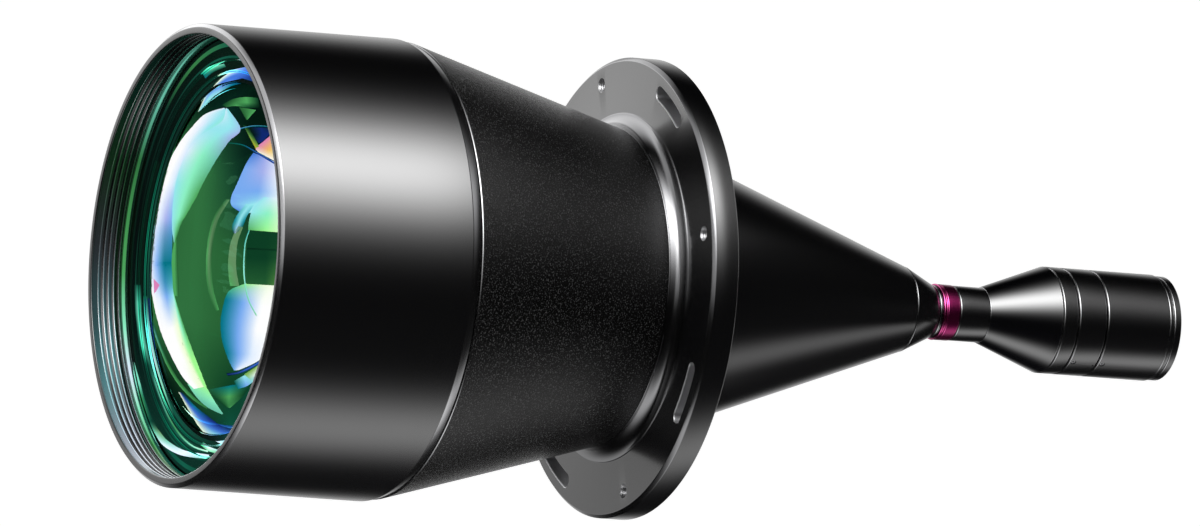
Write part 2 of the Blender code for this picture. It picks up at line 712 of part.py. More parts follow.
def screw_hole(y):
    """The drilled hole of a set screw, right through a ring's wall."""
    return radial_cylinder(
        SCREW_HOLE_DIAMETER / 2,
        BORE_SIDES,
        RING_BORE - RING_WALL / 4,
        BARREL_RADIUS + RING_WALL,
        SCREW_AZIMUTH,
        y,
    )


def make_set_screw(name, y, material):
    """A headless set screw with a hexagon socket, just below the ring's surface."""
    inner = SLEEVE_RADIUS + FIT_GAP
    outer = BARREL_RADIUS - FIT_GAP
    radius = SCREW_HOLE_DIAMETER / 2 - FIT_GAP
    shape = radial_cylinder(radius, BORE_SIDES, inner, outer, SCREW_AZIMUTH, y)
    screw = add_object(name, shape, material)
    socket = radial_cylinder(
        SCREW_HEX / 2, 6, outer - SCREW_HEX_DEPTH, outer + RING_WALL, SCREW_AZIMUTH, y
    )
    cut(screw, add_cutter(name + "_socket", [socket]))
    return screw


def make_rear_barrel(material):
    """The rear barrel, which slides over the sleeve and takes the camera ring."""
    outline = [
        (RING_BORE, BARREL_FRONT),
        (BARREL_RADIUS - RING_CHAMFER, BARREL_FRONT),
        (BARREL_RADIUS, BARREL_FRONT + RING_CHAMFER),
        (BARREL_RADIUS, BARREL_REAR),
        (RING_BORE, BARREL_REAR),
    ]
    barrel = turned("rear_barrel", outline, SMALL_SIDES, material)
    hole = screw_hole(BARREL_FRONT + BARREL_SCREW_SETBACK)
    cut(barrel, add_cutter("rear_barrel_hole", [hole]))
    return barrel


def sag_drop(radius):
    """How far a rear lens's curved face has fallen from a radius out to its edge."""
    return sag(REAR_LENS_EDGE_RADIUS, REAR_LENS_RADIUS) - sag(radius, REAR_LENS_RADIUS)


def make_rear_group(glass, ring_material):
    """Two lenses with a spacer between them, held in the sleeve by a ring."""
    edge = REAR_LENS_EDGE_RADIUS
    bulge = sag(edge, REAR_LENS_RADIUS)
    first_front = REAR_SEAT + sag_drop(SLEEVE_BORE - REAR_SPACER_WALL) + FIT_GAP
    first_rear = first_front + REAR_LENS_EDGE
    spacer_front = first_rear + FIT_GAP
    spacer_rear = spacer_front + REAR_SPACER_LENGTH
    second_front = spacer_rear + FIT_GAP
    second_rear = second_front + REAR_LENS_EDGE
    first = surface(first_front - bulge, REAR_LENS_RADIUS, edge, 3)
    first += [(edge, first_rear), (0.0, first_rear)]
    second = [(0.0, second_front), (edge, second_front)]
    second += reversed(surface(second_rear + bulge, REAR_LENS_RADIUS, edge, 3, hollow=True))
    turned("rear_lens_first", first, SMALL_SIDES, glass)
    turned("rear_lens_second", second, SMALL_SIDES, glass)
    spacer_inner = edge - REAR_SPACER_WALL
    spacer = [
        (spacer_inner, spacer_front),
        (edge, spacer_front),
        (edge, spacer_rear),
        (spacer_inner, spacer_rear),
    ]
    turned("rear_lens_spacer", spacer, SMALL_SIDES, ring_material)
    retainer_inner = edge - REAR_RETAINER_WALL
    retainer_front = second_rear + sag_drop(retainer_inner) + FIT_GAP
    retainer = [
        (retainer_inner, retainer_front),
        (edge, retainer_front),
        (edge, retainer_front + REAR_RETAINER_LENGTH),
        (retainer_inner, retainer_front + REAR_RETAINER_LENGTH),
    ]
    turned("rear_retaining_ring", retainer, SMALL_SIDES, ring_material)


def make_camera_ring(material):
    """The stepped ring that closes the barrel and carries the camera mount."""
    spigot = RING_BORE - FIT_GAP
    bore = spigot - CAMERA_RING_SPIGOT_WALL
    outer = BARREL_RADIUS - CAMERA_RING_STEP_DROP
    groove = outer - CAMERA_RING_GROOVE_DEPTH
    chamfer = CAMERA_RING_CHAMFER
    groove_front = CAMERA_RING_FRONT + CAMERA_RING_FIRST_STEP
    groove_rear = groove_front + CAMERA_RING_GROOVE
    end = groove_rear + CAMERA_RING_SECOND_STEP
    outline = [
        (bore, CAMERA_RING_FRONT - CAMERA_RING_SPIGOT),
        (spigot, CAMERA_RING_FRONT - CAMERA_RING_SPIGOT),
        (spigot, CAMERA_RING_FRONT),
        (outer - chamfer, CAMERA_RING_FRONT),
        (outer, CAMERA_RING_FRONT + chamfer),
        (outer, groove_front),
        (groove, groove_front),
        (groove, groove_rear),
        (outer - chamfer, groove_rear),
        (outer, groove_rear + chamfer),
        (outer, end - chamfer),
        (outer - chamfer, end),
        (bore, end),
    ]
    return turned("camera_ring", outline, SMALL_SIDES, material)


# Stations of the front lens group
RETAINER_INNER_FACE = HOOD_FRONT + RETAINER_FACE_DEPTH + 2 * RETAINER_STEP_DEPTH
GLASS_AT_LIP = RETAINER_INNER_FACE + RETAINER_LIP + RETAINER_CLEARANCE
FRONT_VERTEX = GLASS_AT_LIP - sag(CLEAR_RADIUS, FRONT_LENS_RADIUS)
GLASS_EDGE = FRONT_VERTEX + sag(LENS_RADIUS, FRONT_LENS_RADIUS)
RETAINER_SEAT = GLASS_EDGE + CELL_SETBACK
FRONT_LENS_REAR = GLASS_EDGE + FRONT_LENS_EDGE
SPACER_FRONT = FRONT_LENS_REAR + FIT_GAP
SPACER_REAR = SPACER_FRONT + SPACER_LENGTH
CROWN_RIM = SPACER_REAR + FIT_GAP
CROWN_VERTEX = CROWN_RIM - sag(LENS_RADIUS, CROWN_FRONT_RADIUS) + FIT_GAP
CEMENT_VERTEX = CROWN_RIM + CROWN_EDGE + sag(LENS_RADIUS, CEMENT_RADIUS)
FLINT_RIM = CROWN_RIM + CROWN_EDGE + FIT_GAP
FLINT_REAR_VERTEX = FLINT_RIM + FLINT_EDGE + sag(LENS_RADIUS, FLINT_REAR_RADIUS)
GROUP_REAR = FLINT_RIM + FLINT_EDGE + FIT_GAP

# Ends of the tapered bores inside the two cones
FRONT_BORE_START = (
    MOUTH_RADIUS - FIT_GAP - FRONT_SPIGOT_WALL,
    FRONT_CONE_FRONT + FRONT_CONE_WALL,
)
FRONT_BORE_END = (
    FLANGE_SOCKET - FIT_GAP - FLANGE_SPIGOT_WALL,
    FRONT_CONE_REAR - FRONT_CONE_WALL,
)
REAR_BORE_START = (
    FLANGE_BORE - FIT_GAP - REAR_SPIGOT_WALL,
    REAR_CONE_FRONT + REAR_CONE_WALL,
)
REAR_BORE_END = (NOSE_SOCKET, REAR_CONE_REAR - NOSE_SPIGOT_LENGTH - FIT_GAP)

# Seat of the rear lens group in the sleeve
REAR_SEAT = ADJUST_RING_FRONT


def main():
    clear_scene()
    hood_black = finish("hood_black", SATIN_BLACK, 0.28, metallic=0.4)
    cell_black = finish("cell_black", MATTE_BLACK, 0.35)
    cone_texture = finish("cone_texture", TEXTURED_BLACK, 0.6)
    flange_black = finish("flange_black", SATIN_BLACK, 0.38, metallic=0.4)
    rear_black = finish("rear_black", SATIN_BLACK, 0.3, metallic=0.4)
    baffle_black = finish("baffle_black", MATTE_BLACK, 0.85)
    gloss_black = finish("gloss_black", GLOSS_BLACK, 0.12, metallic=0.3)
    magenta = finish("magenta_anodised", MAGENTA, 0.2, metallic=0.9)
    steel = finish("screw_steel", STEEL, 0.35, metallic=1.0)
    front_glass = finish("front_coated_glass", FRONT_COATING, 0.0, transmission=1.0)
    crown_glass = finish("crown_glass", FRONT_COATING, 0.0, transmission=1.0)
    flint_glass = finish("flint_glass", FRONT_COATING, 0.0, transmission=1.0)
    rear_glass = finish("rear_coated_glass", REAR_COATING, 0.0, transmission=1.0)

    make_front_hood(hood_black)
    make_lens_cell(cell_black)
    make_retaining_ring(cell_black)
    make_front_lens(front_glass)
    make_lens_spacer(baffle_black)
    make_doublet(crown_glass, flint_glass)
    make_front_cone(cone_texture)
    front_baffle = FRONT_CONE_FRONT + FRONT_BAFFLE_SETBACK
    make_cone_baffle(
        "front_baffle", front_baffle, FRONT_BORE_START, FRONT_BORE_END, baffle_black
    )
    make_flange(flange_black)
    make_rear_cone(rear_black)
    rear_baffle = REAR_CONE_FRONT + REAR_BAFFLE_SETBACK
    make_cone_baffle("rear_baffle", rear_baffle, REAR_BORE_START, REAR_BORE_END, baffle_black)
    make_nose_cone(rear_black)
    make_lock_ring(gloss_black)
    make_aperture_ring(magenta)
    make_aperture_stop(baffle_black)
    make_neck_tube(rear_black)
    make_rear_taper(gloss_black)
    make_sleeve_rings(rear_black)
    make_rear_barrel(rear_black)
    make_rear_group(rear_glass, baffle_black)
    make_camera_ring(rear_black)
    make_set_screw("adjusting_set_screw", ADJUST_RING_FRONT + ADJUST_SCREW_SETBACK, steel)
    make_set_screw("barrel_set_screw", BARREL_FRONT + BARREL_SCREW_SETBACK, steel)


main()
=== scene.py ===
"""Looks for the bi-telecentric lens: fine turned shells, coated glass, plain studio.

Every shell is turned about the optical axis (+Y) and stands for its CAD node.
"""

import math

import bmesh
import bpy
from mathutils import Matrix, Vector


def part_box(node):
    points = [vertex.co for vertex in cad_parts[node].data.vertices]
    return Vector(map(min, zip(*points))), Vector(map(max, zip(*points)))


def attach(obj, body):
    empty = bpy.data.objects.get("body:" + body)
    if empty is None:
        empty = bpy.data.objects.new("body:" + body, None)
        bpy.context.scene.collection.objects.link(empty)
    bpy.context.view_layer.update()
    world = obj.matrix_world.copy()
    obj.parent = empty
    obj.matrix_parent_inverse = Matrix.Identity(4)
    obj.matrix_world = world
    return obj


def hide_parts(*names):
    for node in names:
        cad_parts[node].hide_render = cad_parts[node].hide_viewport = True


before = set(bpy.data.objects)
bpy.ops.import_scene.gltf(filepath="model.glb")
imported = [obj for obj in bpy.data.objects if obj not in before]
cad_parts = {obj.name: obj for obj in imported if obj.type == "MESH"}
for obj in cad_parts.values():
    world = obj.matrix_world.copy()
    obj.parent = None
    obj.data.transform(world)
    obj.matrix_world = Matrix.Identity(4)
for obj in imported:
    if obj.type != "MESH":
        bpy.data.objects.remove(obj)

bl_info = {
    "name": "Bi-telecentric lens looks",
    "version": (1, 0, 0),
    "blender": (4, 5, 0),
    "location": "3D View > Sidebar > Lens",
    "description": "Builds the fine shells, glass, finishes and studio of a telecentric lens",
    "category": "Object",
}

MM = 0.001
SIDES = 288
SMALL_SIDES = 144

# Radius in metres below which a point of an outline lies on the axis
ON_AXIS = 1e-7

# Radii in mm that neighbouring shells share, from the front to the rear
CONE_END = 69.6
CONE_BORE = 62.3
NOSE_START = 18.8
NECK_SOCKET = 10.1
LIGHT_BORE = 7.5
BARREL = 23.3

# Height in mm of the steps of the front retaining ring
RING_STEP = 0.6

# The photograph's view in the row frame, and its picture in pixels
TO_CAMERA = Vector((0.795922, -0.428689, 0.427473))
CAMERA_UP = Vector((-0.500236, -0.067991, 0.863216))
CAMERA_RIGHT = Vector((0.340987, 0.90089, 0.268561))
CAMERA_TARGET = Vector((-0.005159, -0.019012, 0.008868))
PICTURE_WIDTH = 1200.0
PICTURE_CENTRE = (600.0, 263.0)
SENSOR_WIDTH = 36.0


def length(name, default, text):
    """A length property, in metres."""
    return bpy.props.FloatProperty(
        name=name, default=default * MM, description=text, unit="LENGTH", precision=5
    )


def colour(name, default, text):
    """A colour property."""
    return bpy.props.FloatVectorProperty(
        name=name, default=default, description=text, subtype="COLOR", size=4, min=0.0, max=1.0
    )


def amount(name, default, text):
    """A plain number between nought and one."""
    return bpy.props.FloatProperty(name=name, default=default, description=text, min=0.0, max=1.0)


class LensSizes(bpy.types.PropertyGroup):
    """Sizes of the fine shells that the frame's own boxes don't give."""

    edge_round: length("Edge rounding", 0.25, "Radius of a broken edge on the large pieces")
    small_round: length("Small edge rounding", 0.12, "Radius of a broken edge on small rings")
    rim_chamfer: length("Rim chamfer", 1.7, "Width of the chamfer round the front rim")
    rim_face: length("Rim face", 2.3, "Width of the flat face of the front rim")
    crest_start: length("First groove", 4.0, "Depth of the first groove in the mouth")
    crest_pitch: length("Groove pitch", 2.45, "Distance between the mouth's grooves")
    crest_width: length("Crest width", 0.65, "Width of the crest between two grooves")
    groove_depth: length("Groove depth", 0.9, "Depth of the grooves in the mouth")
    dome_radius: length("Dome radius", 190.0, "Radius of curvature of the front glass")
    slot_width: length("Slot width", 6.0, "Width of the flange's curved slots")
    hole_diameter: length("Hole diameter", 5.6, "Diameter of the flange's round holes")
    pattern_radius: length("Pattern radius", 91.0, "Pitch radius of slots and holes")
    pattern_chamfer: length("Pattern chamfer", 0.4, "Chamfer at the mouths of slots and holes")
    camera_focal: bpy.props.FloatProperty(
        name="Focal length", default=745.0, description="Camera lens on a 36 mm sensor, in mm"
    )
    camera_distance: length("Camera distance", 10745.8, "From the camera to its target")


class LensFinishes(bpy.types.PropertyGroup):
    """Colours and roughness of the finishes."""

    satin: colour("Satin black", (0.005, 0.005, 0.0055, 1.0), "Anodised hood, cones and barrel")
    # Crinkle dots: the lighter colour of the relief's raised dots, a painted highlight
    crinkle: colour("Crinkle dots", (0.065, 0.065, 0.065, 1.0), "Raised dots of the painted cone")
    gloss: colour("Gloss black", (0.004, 0.004, 0.005, 1.0), "Polished black pieces")
    flat: colour("Flat black", (0.004, 0.004, 0.004, 1.0), "Inside surfaces")
    polished: colour("Polished black", (0.22, 0.22, 0.225, 1.0), "Cove of the flange")
    magenta: colour("Magenta", (0.23, 0.008, 0.085, 1.0), "Anodised aperture ring")
    # Magenta edge: a brighter copy of the magenta on the aperture ring's broken edges, a painted
    # highlight
    magenta_edge: colour("Magenta edge", (0.75, 0.12, 0.36, 1.0), "Edges of the aperture ring")
    steel: colour("Steel", (0.30, 0.30, 0.31, 1.0), "Set screws")
    # Edge: bright metal on the broken edges, partly machined metal and partly a painted highlight
    # where they catch light
    edge: colour("Edge", (0.45, 0.45, 0.46, 1.0), "Machined bright edges")
    # Teal edge: the retaining ring's broken edges tinted teal, a painted reflection of the green
    # glass
    teal_edge: colour("Teal edge", (0.10, 0.42, 0.36, 1.0), "Edges of the retaining ring")
    satin_roughness: amount("Satin roughness", 0.16, "Roughness of the anodised surfaces")
    crinkle_roughness: amount("Crinkle roughness", 0.22, "Roughness of the painted cone")


def sizes():
    """The sizes in use."""
    return bpy.context.scene.lens_sizes


def finishes():
    """The finishes in use."""
    return bpy.context.scene.lens_finishes


def y_range(node):
    """Where a CAD node starts and ends along the optical axis."""
    low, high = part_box(node)
    return low.y, high.y


# How much the front glass mirrors, from face on (0) to edge on (1)
COATING = (
    (0.30, (0.10, 0.22, 0.14, 1.0)),
    (0.60, (0.22, 0.36, 0.28, 1.0)),
    (0.72, (0.36, 0.55, 0.50, 1.0)),
    (0.82, (0.60, 0.80, 0.85, 1.0)),
    (0.92, (1.0, 1.0, 1.0, 1.0)),
)

# The same for the glass behind it and for the rear group
INNER_COATING = (
    (0.2, (0.03, 0.16, 0.08, 1.0)),
    (0.7, (0.2, 0.6, 0.5, 1.0)),
    (0.95, (0.9, 1.0, 1.0, 1.0)),
)
REAR_COATING = (
    (0.2, (0.05, 0.05, 0.2, 1.0)),
    (0.95, (0.8, 0.8, 1.0, 1.0)),
)

# What passes through the front glass, the glass behind it and the rear group
FRONT_TINT = (0.05, 0.12, 0.07, 1.0)
INNER_TINT = (0.35, 0.7, 0.5, 1.0)
REAR_TINT = (0.5, 0.5, 0.7, 1.0)


def reflectance(facing):
    """The colour that the front glass mirrors with, for the cosine to the viewer."""
    tilt = 1.0 - facing
    if tilt <= COATING[0][0]:
        return COATING[0][1][:3]
    for (low, first), (high, second) in zip(COATING, COATING[1:]):
        if tilt <= high:
            share = (tilt - low) / (high - low)
            return tuple(a + (b - a) * share for a, b in zip(first[:3], second[:3]))
    return COATING[-1][1][:3]


# Shaders


def socket(group, name, kind, side="INPUT", default=None):
    """Adds a socket to a node group."""
    made = group.interface.new_socket(name=name, in_out=side, socket_type=kind)
    if default is not None:
        made.default_value = default
    return made


def wire(tree, *wires):
    """Links nodes, each wire given as a node and its output, a node and its input."""
    for source, output, target, entry in wires:
        tree.links.new(source.outputs[output], target.inputs[entry])


def relief_group():
    """A shared group that turns object coordinates into the normal of a fine relief."""
    name = "fine_relief"
    if name in bpy.data.node_groups:
        return bpy.data.node_groups[name]
    group = bpy.data.node_groups.new(name, "ShaderNodeTree")
    for label in ("Scale", "Strength", "Distance"):
        socket(group, label, "NodeSocketFloat")
    socket(group, "Normal", "NodeSocketVector", "OUTPUT")
    socket(group, "Mask", "NodeSocketFloat", "OUTPUT")
    given = group.nodes.new("NodeGroupInput")
    result = group.nodes.new("NodeGroupOutput")
    place = group.nodes.new("ShaderNodeTexCoord")
    noise = group.nodes.new("ShaderNodeTexNoise")
    noise.inputs["Detail"].default_value = 3.0
    bump = group.nodes.new("ShaderNodeBump")
    wire(
        group,
        (place, "Object", noise, "Vector"),
        (given, "Scale", noise, "Scale"),
        (noise, "Fac", bump, "Height"),
        (given, "Strength", bump, "Strength"),
        (given, "Distance", bump, "Distance"),
        (bump, "Normal", result, "Normal"),
        (noise, "Fac", result, "Mask"),
    )
    return group


def principled(name, base, roughness, metallic=0.0, ior=1.5, coat=0.0):
    """A Principled material with its plain values set on the shader's own sockets."""
    material = bpy.data.materials.new(name)
    material.use_nodes = True
    shader = material.node_tree.nodes["Principled BSDF"]
    shader.inputs["Base Color"].default_value = base
    shader.inputs["Roughness"].default_value = roughness
    shader.inputs["Metallic"].default_value = metallic
    shader.inputs["IOR"].default_value = ior
    shader.inputs["Coat Weight"].default_value = coat
    shader.inputs["Coat Roughness"].default_value = 0.05
    return material


def add_relief_and_painted_highlight(material, scale, distance, stops):
    """Lays the shared fine relief on a material, with painted light by its height: lighter tops,
    darker hollows.
    """
    nodes = material.node_tree.nodes
    relief = nodes.new("ShaderNodeGroup")
    relief.node_tree = relief_group()
    relief.inputs["Scale"].default_value = scale
    relief.inputs["Strength"].default_value = 1.0
    relief.inputs["Distance"].default_value = distance
    painted_speckle = ramp(nodes, stops)
    shader = nodes["Principled BSDF"]
    wire(
        material.node_tree,
        (relief, "Normal", shader, "Normal"),
        (relief, "Mask", painted_speckle, "Fac"),
        (painted_speckle, "Color", shader, "Base Color"),
    )


def ramp(nodes, stops):
    """A colour ramp from (position, colour) stops."""
    node = nodes.new("ShaderNodeValToRGB")
    elements = node.color_ramp.elements
    while len(elements) > 1:
        elements.remove(elements[-1])
    elements[0].position, elements[0].color = stops[0]
    for position, value in stops[1:]:
        elements.new(position).color = value
    return node


def bare_material(name):
    """A material, its node tree and the output node, which is all that the tree holds."""
    material = bpy.data.materials.new(name)
    material.use_nodes = True
    tree = material.node_tree
    tree.nodes.clear()
    return material, tree, tree.nodes.new("ShaderNodeOutputMaterial")


def coated_glass(name, stops, tint):
    """Dark glass with an anti-reflection coat whose tint and strength turn with the angle."""
    _, tree, output = bare_material(name)
    add = tree.nodes.new("ShaderNodeAddShader")
    gloss = tree.nodes.new("ShaderNodeBsdfAnisotropic")
    gloss.distribution = "GGX"
    gloss.inputs["Roughness"].default_value = 0.015
    clear = tree.nodes.new("ShaderNodeBsdfTransparent")
    clear.inputs["Color"].default_value = tint
    facing = tree.nodes.new("ShaderNodeLayerWeight")
    facing.inputs["Blend"].default_value = 0.5
    coat = ramp(tree.nodes, stops)
    wire(
        tree,
        (facing, "Facing", coat, "Fac"),
        (coat, "Color", gloss, "Color"),
        (gloss, "BSDF", add, 0),
        (clear, "BSDF", add, 1),
        (add, "Shader", output, "Surface"),
    )


# Shapes


def placed(name, data):
    """A new object with this mesh or camera, linked to the scene."""
    item = bpy.data.objects.new(name, data)
    bpy.context.scene.collection.objects.link(item)
    return item


def outward(mesh):
    """Turns the faces of a closed mesh outward."""
    shape = bmesh.new()
    shape.from_mesh(mesh)
    bmesh.ops.recalc_face_normals(shape, faces=shape.faces)
    shape.to_mesh(mesh)
    shape.free()
    return mesh


def points_from(start, *places):
    """Outline points from pairs in mm: the radius and the distance behind a start."""
    return [(radius * MM, start + distance * MM) for radius, distance in places]


def rounded(outline, size, steps=3, bright=(), edges=True):
    """A closed outline of (radius, y) points with every sharp corner rounded.

    Each point carries a flag that says whether the stretch after it is bright metal.
    """
    count = len(outline)
    nearly_straight = math.radians(168.0)
    most = 0.42
    made = []
    for index, point in enumerate(outline):
        here = Vector(point)
        before = Vector(outline[index - 1]) - here
        after = Vector(outline[(index + 1) % count]) - here
        flag = index in bright
        flat = before.length < 1e-9 or after.length < 1e-9 or size <= 0.0
        if here.x < ON_AXIS or flat or before.angle(after) > nearly_straight:
            made.append((here.x, here.y, flag))
            continue
        reach = min(size, most * before.length, most * after.length)
        start = here + before.normalized() * reach
        end = here + after.normalized() * reach
        for step in range(steps + 1):
            share = step / steps
            first = start.lerp(here, share)
            second = here.lerp(end, share)
            place = first.lerp(second, share)
            made.append((place.x, place.y, flag if step == steps else edges))
    return made


def turned_mesh(name, outline, sides):
    """The mesh of a closed outline turned once around the optical axis.

    Points are (radius, y) or (radius, y, flag); flagged stretches take the second material.
    """
    vertices = []
    rings = []
    flags = []
    for radius, y, *flag in outline:
        flags.append(bool(flag and flag[0]))
        if radius < ON_AXIS:
            rings.append([len(vertices)] * sides)
            vertices.append((0.0, y, 0.0))
            continue
        rings.append(list(range(len(vertices), len(vertices) + sides)))
        for side in range(sides):
            angle = 2 * math.pi * side / sides
            vertices.append((radius * math.cos(angle), y, radius * math.sin(angle)))
    faces = []
    slots = []
    for flag, ring, following in zip(flags, rings, rings[1:] + rings[:1]):
        if ring[0] == ring[-1] and following[0] == following[-1]:
            continue
        for side in range(sides):
            other = (side + 1) % sides
            corners = [ring[side], ring[other], following[other], following[side]]
            face = list(dict.fromkeys(corners))
            if len(face) > 2:
                faces.append(face)
                slots.append(1 if flag else 0)
    mesh = bpy.data.meshes.new(name)
    mesh.from_pydata(vertices, [], faces)
    mesh.polygons.foreach_set("material_index", slots)
    return outward(mesh)


def add_piece(name, mesh, material, nodes, sharp=32.0, edge=None, third=None):
    """Links one finished piece, hangs it on the root body and hides the CAD nodes it stands for."""
    indices = [0] * len(mesh.polygons)
    mesh.polygons.foreach_get("material_index", indices)
    mesh.materials.clear()
    mesh.materials.append(material)
    if any(indices):
        mesh.materials.append(edge or bpy.data.materials["edge"])
    if third:
        mesh.materials.append(third)
    last = 2 if third else 1
    mesh.polygons.foreach_set("material_index", [min(index, last) for index in indices])
    mesh.shade_smooth()
    mesh.set_sharp_from_angle(angle=math.radians(sharp))
    piece = placed(name, mesh)
    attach(piece, "root")
    if nodes:
        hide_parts(*nodes)
    return piece


def turned(name, outline, material, node, sides=SIDES, size=None, bright=(), edges=True,
           edge=None):
    """Turns one outline, with broken edges, into the piece that stands for a CAD node."""
    size = sizes().edge_round if size is None else size
    mesh = turned_mesh(name, rounded(outline, size, bright=bright, edges=edges), sides)
    return add_piece(name, mesh, material, [node] if node else [], edge=edge)


def sag(radius, curvature):
    """How far a spherical surface falls back at a radius from the axis."""
    return curvature - math.sqrt(curvature**2 - radius**2)


# Geometry Nodes


def geometry_group(name, inputs):
    """A Geometry Nodes tree, the node of its inputs and the node for what it makes.

    What reaches the last is realised and given the material of the Material input.
    """
    tree = bpy.data.node_groups.new(name, "GeometryNodeTree")
    for label, kind, default in inputs:
        socket(tree, label, kind, default=default)
    socket(tree, "Material", "NodeSocketMaterial")
    socket(tree, "Geometry", "NodeSocketGeometry", "OUTPUT")
    given = tree.nodes.new("NodeGroupInput")
    realise = tree.nodes.new("GeometryNodeRealizeInstances")
    finish = tree.nodes.new("GeometryNodeSetMaterial")
    result = tree.nodes.new("NodeGroupOutput")
    wire(
        tree,
        (realise, "Geometry", finish, "Geometry"),
        (given, "Material", finish, "Material"),
        (finish, "Geometry", result, "Geometry"),
    )
    return tree, given, realise


def evaluated(name, tree, values):
    """Runs a tree with the given input values and returns its plain mesh."""
    carrier = placed(name + "_carrier", bpy.data.meshes.new(name + "_carrier"))
    modifier = carrier.modifiers.new(tree.name, "NODES")
    modifier.node_group = tree
    for item in tree.interface.items_tree:
        if item.item_type == "SOCKET" and item.in_out == "INPUT" and item.name in values:
            modifier[item.identifier] = values[item.name]
    bpy.context.view_layer.update()
    depsgraph = bpy.context.evaluated_depsgraph_get()
    mesh = bpy.data.meshes.new_from_object(carrier.evaluated_get(depsgraph))
    mesh.name = name
    bpy.data.objects.remove(carrier)
    return mesh


def crest_tree():
    """Rings of one small cross-section repeated along the optical axis."""
    tree, given, realise = geometry_group(
        "crest_rings",
        [
            ("Radius", "NodeSocketFloat", 0.096),
            ("Width", "NodeSocketFloat", 0.0006),
            ("Depth", "NodeSocketFloat", 0.0009),
            ("Start", "NodeSocketFloat", 0.0),
            ("Pitch", "NodeSocketFloat", 0.0025),
            ("Count", "NodeSocketInt", 5),
        ],
    )
    nodes = tree.nodes
    ring = nodes.new("GeometryNodeCurvePrimitiveCircle")
    ring.inputs["Resolution"].default_value = 2 * SIDES
    section = nodes.new("GeometryNodeCurvePrimitiveQuadrilateral")
    bevel = nodes.new("GeometryNodeFilletCurve")
    bevel.mode = "POLY"
    bevel.inputs["Count"].default_value = 3
    bevel.inputs["Radius"].default_value = 0.00018
    sweep = nodes.new("GeometryNodeCurveToMesh")
    line = nodes.new("GeometryNodeMeshLine")
    start = nodes.new("ShaderNodeCombineXYZ")
    offset = nodes.new("ShaderNodeCombineXYZ")
    place = nodes.new("GeometryNodeInstanceOnPoints")
    place.inputs["Rotation"].default_value = (math.pi / 2, 0.0, 0.0)
    wire(
        tree,
        (given, "Radius", ring, "Radius"),
        (given, "Depth", section, "Width"),
        (given, "Width", section, "Height"),
        (section, "Curve", bevel, "Curve"),
        (ring, "Curve", sweep, "Curve"),
        (bevel, "Curve", sweep, "Profile Curve"),
        (given, "Start", start, "Y"),
        (given, "Pitch", offset, "Y"),
        (given, "Count", line, "Count"),
        (start, "Vector", line, "Start Location"),
        (offset, "Vector", line, "Offset"),
        (line, "Mesh", place, "Points"),
        (sweep, "Mesh", place, "Instance"),
        (place, "Instances", realise, "Geometry"),
    )
    return tree


def pattern_tree():
    """One cutter repeated around the optical axis."""
    tree, given, realise = geometry_group(
        "bolt_pattern",
        [
            ("Cutter", "NodeSocketObject", None),
            ("Count", "NodeSocketInt", 4),
            ("First angle", "NodeSocketFloat", 0.0),
        ],
    )
    nodes = tree.nodes
    cutter = nodes.new("GeometryNodeObjectInfo")
    spots = nodes.new("GeometryNodePoints")
    index = nodes.new("GeometryNodeInputIndex")
    share = nodes.new("ShaderNodeMath")
    share.operation = "DIVIDE"
    turn = nodes.new("ShaderNodeMath")
    turn.operation = "MULTIPLY_ADD"
    turn.inputs[1].default_value = 2 * math.pi
    rotation = nodes.new("ShaderNodeCombineXYZ")
    place = nodes.new("GeometryNodeInstanceOnPoints")
    wire(
        tree,
        (given, "Cutter", cutter, "Object"),
        (given, "Count", spots, "Count"),
        (index, "Index", share, 0),
        (given, "Count", share, 1),
        (share, "Value", turn, 0),
        (given, "First angle", turn, 2),
        (turn, "Value", rotation, "Y"),
        (spots, "Points", place, "Points"),
        (cutter, "Geometry", place, "Instance"),
        (rotation, "Vector", place, "Rotation"),
        (place, "Instances", realise, "Geometry"),
    )
    return tree


# Finishes


def material_set():
    """Every finish, made once and shared."""
    if "satin" in bpy.data.materials:
        return bpy.data.materials
    looks = finishes()
    principled("satin", looks.satin, looks.satin_roughness, ior=2.0)
    principled("flange_satin", looks.satin, roughness=0.14, ior=1.85)
    principled("polished_black", looks.polished, roughness=0.15, metallic=1.0)
    principled("bore", looks.edge, roughness=0.42, metallic=1.0)
    crinkle = principled("crinkle", looks.crinkle, looks.crinkle_roughness, ior=1.45)
    # Colour by relief height: painted shade in the hollows, painted highlight on the raised dots
    shaded_hollows, flanks = (0.002, 0.002, 0.002, 1.0), (0.003, 0.003, 0.003, 1.0)
    stops = ((0.0, shaded_hollows), (0.56, flanks), (0.66, looks.crinkle))
    add_relief_and_painted_highlight(crinkle, scale=1500.0, distance=0.24 * MM, stops=stops)
    principled("gloss", looks.gloss, roughness=0.07, ior=2.2)
    principled("flat_black", looks.flat, roughness=0.35, ior=1.4)
    principled("cell_gloss", looks.flat, roughness=0.10, ior=1.9)
    principled("magenta", looks.magenta, roughness=0.2, metallic=0.9, coat=0.15)
    # Brighter copy of the magenta for the ring's edges: painted highlight
    principled("magenta_edge", looks.magenta_edge, roughness=0.16, metallic=1.0)
    principled("steel", looks.steel, roughness=0.3, metallic=1.0)
    # Bright metal of the broken edges: partly machined metal, partly a painted highlight
    principled("edge", looks.edge, roughness=0.16, metallic=1.0)
    # Teal tint of the ring's edges: painted reflection of the green glass
    principled("teal_edge", looks.teal_edge, roughness=0.14, metallic=1.0)
    coated_glass("coated_front", COATING, FRONT_TINT)
    coated_glass("coated_inner", INNER_COATING, INNER_TINT)
    coated_glass("coated_rear", REAR_COATING, REAR_TINT)
    return bpy.data.materials


def dress(nodes, material):
    """Gives CAD nodes that keep their own shape a finish."""
    for node in nodes:
        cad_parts[node].data.materials[0] = material


